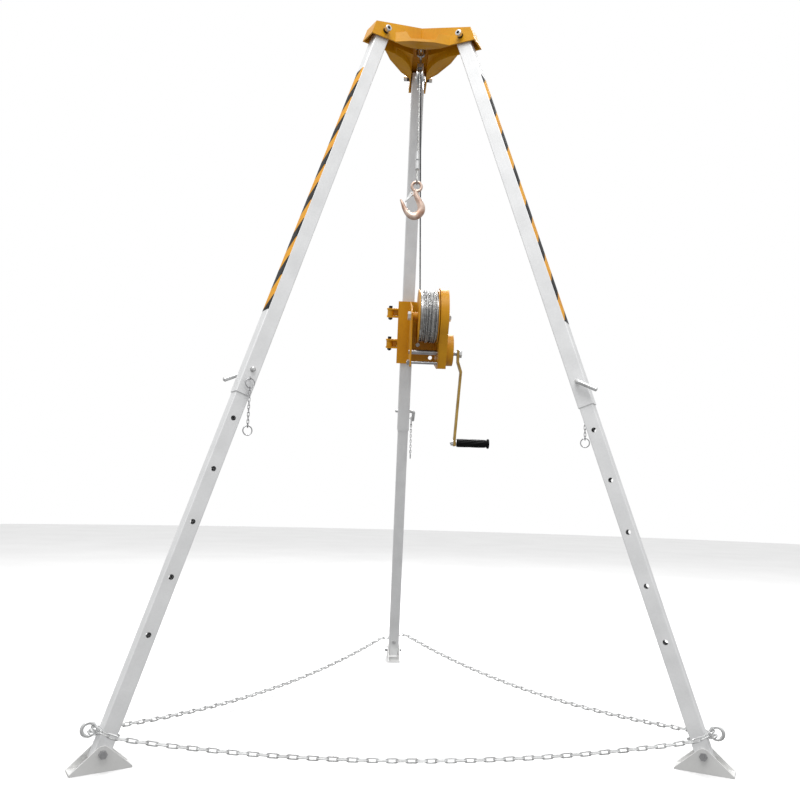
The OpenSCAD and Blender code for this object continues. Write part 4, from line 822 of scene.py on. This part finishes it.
def tape_shell(leg):
    """Thin strip down the tube, turned over its corners; the map is in metres along and across."""
    along = np.linspace(0, TAPE_LENGTH, TAPE_ROWS)
    line = leg_to_row(leg, np.stack([0 * along, 0 * along, TAPE_TOP - along], -1))
    out = leg_to_row(leg, (1, 0, 0)) - leg_to_row(leg, (0, 0, 0))
    under = tape_side(TUBE_CORNER_R)
    section = np.concatenate([under, tape_side(TUBE_CORNER_R + TAPE_T)[::-1]])
    run = run_along(under)
    run = run - run[-1] / 2
    grid, faces, _ = tube_shell(carry(line, out, section))
    flat = np.stack(np.meshgrid(along, np.concatenate([run, run[::-1]]), indexing="ij"), -1)
    return grid, faces, flat * MM


for leg in LEG_ANGLE:
    tape = new_piece("warning_tape_" + leg, [tape_shell(leg)], warning_tape)
    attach(tape, f"leg_{leg}_upper")

# Fluted grip: a turned outline whose middle is cut by slanting hollows, with a collar at its outer end
GRIP_BORE_R = 5.2
GRIP_END_WALL = 2.5
GRIP_R = 14.0
GRIP_OUTLINE = [
    (0, 12.0), (0.6, 13.0), (2, 13.7),
    *((x, GRIP_R) for x in (6, 9, 12, 16, 22, 30, 38, 46, 54, 62, 70, 78, 84, 90)),
    (94, 13.8), (97, 13.0), (99.5, 12.4), (102, 12.6), (103.4, 14.6), (104.4, 16.2), (105.4, 16.6),
    (108, 16.6), (109.2, 16.2), (110, 15.2),
]
GRIP_FLUTES = 8
GRIP_SIDES = 96
FLUTE_DEPTH = 1.7
FLUTE_TWIST = 0.016
FLUTE_FROM = 9
FLUTE_TO = 96
FLUTE_FADE = 8


def grip_shell():
    """Surface of the grip round its bore.

    r(x, a) = outline(x) - depth w(x) (1/2 + cos(flutes (a + twist x)) / 2)^2, where the share w is 1 along
    the middle of the grip and falls to nothing over the fade at each end of the flutes."""
    low, high = node_box("grip")
    middle = (low + high) / 2
    a = np.arange(GRIP_SIDES) * 2 * pi / GRIP_SIDES
    x, r = np.array(GRIP_OUTLINE).T
    share = np.clip((x - FLUTE_FROM) / FLUTE_FADE, 0, 1) * np.clip((FLUTE_TO - x) / FLUTE_FADE, 0, 1)
    hollow = (0.5 + 0.5 * np.cos(GRIP_FLUTES * (a[None] + FLUTE_TWIST * x[:, None]))) ** 2
    outer = r[:, None] - FLUTE_DEPTH * share[:, None] * hollow
    x = np.concatenate([[high[0] - low[0] - GRIP_END_WALL, 0], x])
    radius = np.concatenate([np.full((2, GRIP_SIDES), GRIP_BORE_R), outer])
    return tube_shell(np.stack([
        np.broadcast_to(low[0] + x[:, None], radius.shape),
        middle[1] + radius * np.cos(a), middle[2] + radius * np.sin(a),
    ], -1))


fluted_grip = new_piece("fluted_grip", [grip_shell()], finish["grip_plastic"], ["grip"])
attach(fluted_grip, "crank_grip")

# Pivot screws: a round head with a six-sided socket at each end of a shank through the bush
SCREW_REACH = 37.0
SCREW_HEAD_LEN = 11.0
SCREW_END = SCREW_REACH + SCREW_HEAD_LEN
SCREW_HEAD_R = 9.4
SCREW_EDGE_IN = 1.0
SCREW_EDGE_DROP = 0.8
SCREW_SHANK_R = 6.0
SCREW_SIDES = 48
SOCKET_R = 5.6
SOCKET_DEPTH = 9.0
SOCKET_FLOOR = 4.0
PLUG_GAP = 0.05


def hexagon(r):
    """Points round a hexagon with corners at radius r, counted as on a circle."""
    q = np.arange(SCREW_SIDES) * 2 * pi / SCREW_SIDES % (pi / 3) - pi / 6
    return (r * cos(pi / 6) / np.cos(q))[:, None] * circle(SCREW_SIDES)


def axle_shell(leg, rows):
    """Shell of outlines set along a pivot's axle, from rows of (place along the axle, outline)."""
    points = np.stack([np.insert(outline[:, ::-1], 1, along, axis=1) for along, outline in rows])
    return tube_shell(leg_to_row(leg, points))


def other_end(rows):
    """Rows of an axle's first end turned round for its last end."""
    return [(-along, outline) for along, outline in rows[::-1]]


head_rim = circle(SCREW_SIDES, SCREW_HEAD_R)
half_screw = [
    (SOCKET_DEPTH - SCREW_END, hexagon(SOCKET_R)),
    (-SCREW_END, hexagon(SOCKET_R)),
    (-SCREW_END, circle(SCREW_SIDES, SCREW_HEAD_R - SCREW_EDGE_IN)),
    (SCREW_EDGE_DROP - SCREW_END, head_rim),
    (-SCREW_REACH, head_rim),
    (-SCREW_REACH, circle(SCREW_SIDES, SCREW_SHANK_R)),
]
screw = half_screw + other_end(half_screw)
# Plugs at the bottom of the sockets, black as painted shade inside each socket
plug_ends = (SOCKET_FLOOR - SCREW_END, SOCKET_DEPTH - PLUG_GAP - SCREW_END)
plug = [(along, hexagon(SOCKET_R - PLUG_GAP)) for along in plug_ends]
pivot_screws = new_piece(
    "pivot_screws", [axle_shell(leg, screw) for leg in LEG_ANGLE], finish["zinc_steel"],
    ["pivot_bolts"],
)
socket_shade_plugs = new_piece(
    "socket_shade_plugs", [axle_shell(leg, rows) for leg in LEG_ANGLE for rows in (plug, other_end(plug))],
    finish["black_steel"], ["pivot_bolts"],
)
for piece in (pivot_screws, socket_shade_plugs):
    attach(piece, "head")

# Sheet and cast pieces with their edges rounded
EDGES = {
    "head": 1.5, "winch_frame": 1.2, "gear_cover": 2.0, "brake_cover": 2.5, "clamp_straps": 1.0, "drum": 1.0,
    "crank_arm": 1.2, "foot_left": 0.9, "foot_right": 0.9, "foot_rear": 0.9,
}
EDGE_ANGLE = radians(30)
EDGE_SEGMENTS = 2
MERGE_GAP = 1e-5
FLAT_ANGLE = radians(1)


def rounded(node, width):
    """Merged copy of a CAD node whose edges are rounded by a bevel, standing for that node."""
    mesh = nodes[node].data.copy()
    mesh.name = node + "_rounded"
    shape = bmesh.new()
    shape.from_mesh(mesh)
    bmesh.ops.remove_doubles(shape, verts=shape.verts, dist=MERGE_GAP)
    bmesh.ops.dissolve_limit(shape, angle_limit=FLAT_ANGLE, verts=shape.verts, edges=shape.edges)
    shape.to_mesh(mesh)
    shape.free()
    mesh.shade_smooth()
    mesh.set_sharp_from_angle(angle=EDGE_ANGLE)
    piece = add_object(node + "_rounded", mesh)
    bevel = piece.modifiers.new("edges", "BEVEL")
    bevel.width = width * MM
    bevel.segments = EDGE_SEGMENTS
    bevel.limit_method = "ANGLE"
    bevel.angle_limit = EDGE_ANGLE
    bevel.harden_normals = True
    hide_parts(node)
    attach(piece, body_of[node])


for node_name, edge in EDGES.items():
    rounded(node_name, edge)

# Floor, light and camera, in metres
FLOOR_RINGS = [0.02, 1, 2, 4, 7, 14.0]
FLOOR_SIDES = 64
CAMERA_AT = np.array([-0.1147, -2.1766 + AXIS_Y * MM, 0.6074])
CAMERA_YAW = 0.0657
CAMERA_PITCH = -0.1307
CAMERA_ROLL = -0.0264
CAMERA_SENSOR = 36.0
CAMERA_LENS = 33.2
CAMERA_SHIFT = (-0.0258, 0.0065)
STUDIO_HEIGHTS = (-0.4, 0.8)
STUDIO_STRENGTHS = (0.36, 1.0)
WHITE = (1, 1, 1, 1)


def make_floor():
    """Wide round floor: rings of points from the middle outwards, on the plane the feet stand on."""
    ring_r = np.array(FLOOR_RINGS)
    grid = np.insert(circle(FLOOR_SIDES)[None] * ring_r[:, None, None], 2, 0.0, axis=2)
    material, tree, shader = new_finish("floor", Roughness=0.8)
    tone = place(
        tree, TONE, object_vector(tree), Scale=1.5, Dark=(0.86, 0.86, 0.86), Light=(0.9, 0.9, 0.9)
    )
    tree.links.new(tone.outputs["Color"], shader.inputs["Base Color"])
    faces = [tuple(q)[::-1] for q in grid_quads(len(ring_r), FLOOR_SIDES)] + [tuple(range(FLOOR_SIDES))]
    mesh = bpy.data.meshes.new("floor")
    mesh.from_pydata(grid.reshape(-1, 3).tolist(), [], faces)
    mesh.materials.append(material)
    floor = add_object("floor", mesh)
    floor.visible_diffuse = False
    floor.visible_glossy = False


def stand(holder, across, up, back, at):
    """Object of a light or a camera set at a point, with its three axes given."""
    axes = np.column_stack([across, up, back, at])
    holder.matrix_world = Matrix(np.vstack([axes, [0, 0, 0, 1]]).tolist())


def soft_light(name, at, target, size, power):
    """Square area light at a point, facing another."""
    light = bpy.data.lights.new(name, "AREA")
    light.size = size
    light.energy = power
    back = np.array(at, float) - np.array(target, float)
    back /= np.linalg.norm(back)
    side = np.cross((0, 0, 1), back)
    side /= np.linalg.norm(side)
    stand(add_object(name, light), side, np.cross(back, side), back, at)


def make_camera():
    """Camera fitted to the photograph: place, yaw, pitch and roll, with the lens and shift of its frame."""
    ahead = np.array([
        sin(CAMERA_YAW) * cos(CAMERA_PITCH), cos(CAMERA_YAW) * cos(CAMERA_PITCH), -sin(CAMERA_PITCH),
    ])
    right = np.array([cos(CAMERA_YAW), -sin(CAMERA_YAW), 0])
    down = np.cross(ahead, right)
    across = right * cos(CAMERA_ROLL) + down * sin(CAMERA_ROLL)
    below = down * cos(CAMERA_ROLL) - right * sin(CAMERA_ROLL)
    camera = bpy.data.cameras.new("camera")
    camera.sensor_width = CAMERA_SENSOR
    camera.lens = CAMERA_LENS
    camera.shift_x, camera.shift_y = CAMERA_SHIFT
    holder = add_object("camera", camera)
    stand(holder, across, -below, -ahead, CAMERA_AT)
    bpy.context.scene.camera = holder


def make_studio():
    """White surround whose light is strongest from above and falls off evenly towards the floor."""
    world = bpy.data.worlds.new("studio")
    world.use_nodes = True
    tree = world.node_tree
    lit = tree.nodes["Background"]
    seen = tree.nodes.new("ShaderNodeBackground")
    for background in (lit, seen):
        background.inputs["Color"].default_value = WHITE
    where = tree.nodes.new("ShaderNodeTexCoord")
    split = tree.nodes.new("ShaderNodeSeparateXYZ")
    tree.links.new(where.outputs["Generated"], split.inputs["Vector"])
    strength = span(tree, split.outputs["Z"], *STUDIO_HEIGHTS, *STUDIO_STRENGTHS)
    tree.links.new(strength, lit.inputs["Strength"])
    path = tree.nodes.new("ShaderNodeLightPath")
    either = tree.nodes.new("ShaderNodeMixShader")
    tree.links.new(path.outputs["Is Camera Ray"], either.inputs[0])
    tree.links.new(lit.outputs[0], either.inputs[1])
    tree.links.new(seen.outputs[0], either.inputs[2])
    tree.links.new(either.outputs[0], tree.nodes["World Output"].inputs["Surface"])
    bpy.context.scene.world = world
    bpy.context.scene.view_settings.view_transform = "Standard"


make_floor()
soft_light("key", at=(-0.4, -2.3, 4.9), target=(0, 0, 1.1), size=2.4, power=120.0)
soft_light("rim", at=(0.4, 2.6, 4.4), target=(0, 0, 1.2), size=2.0, power=120.0)
make_camera()
make_studio()
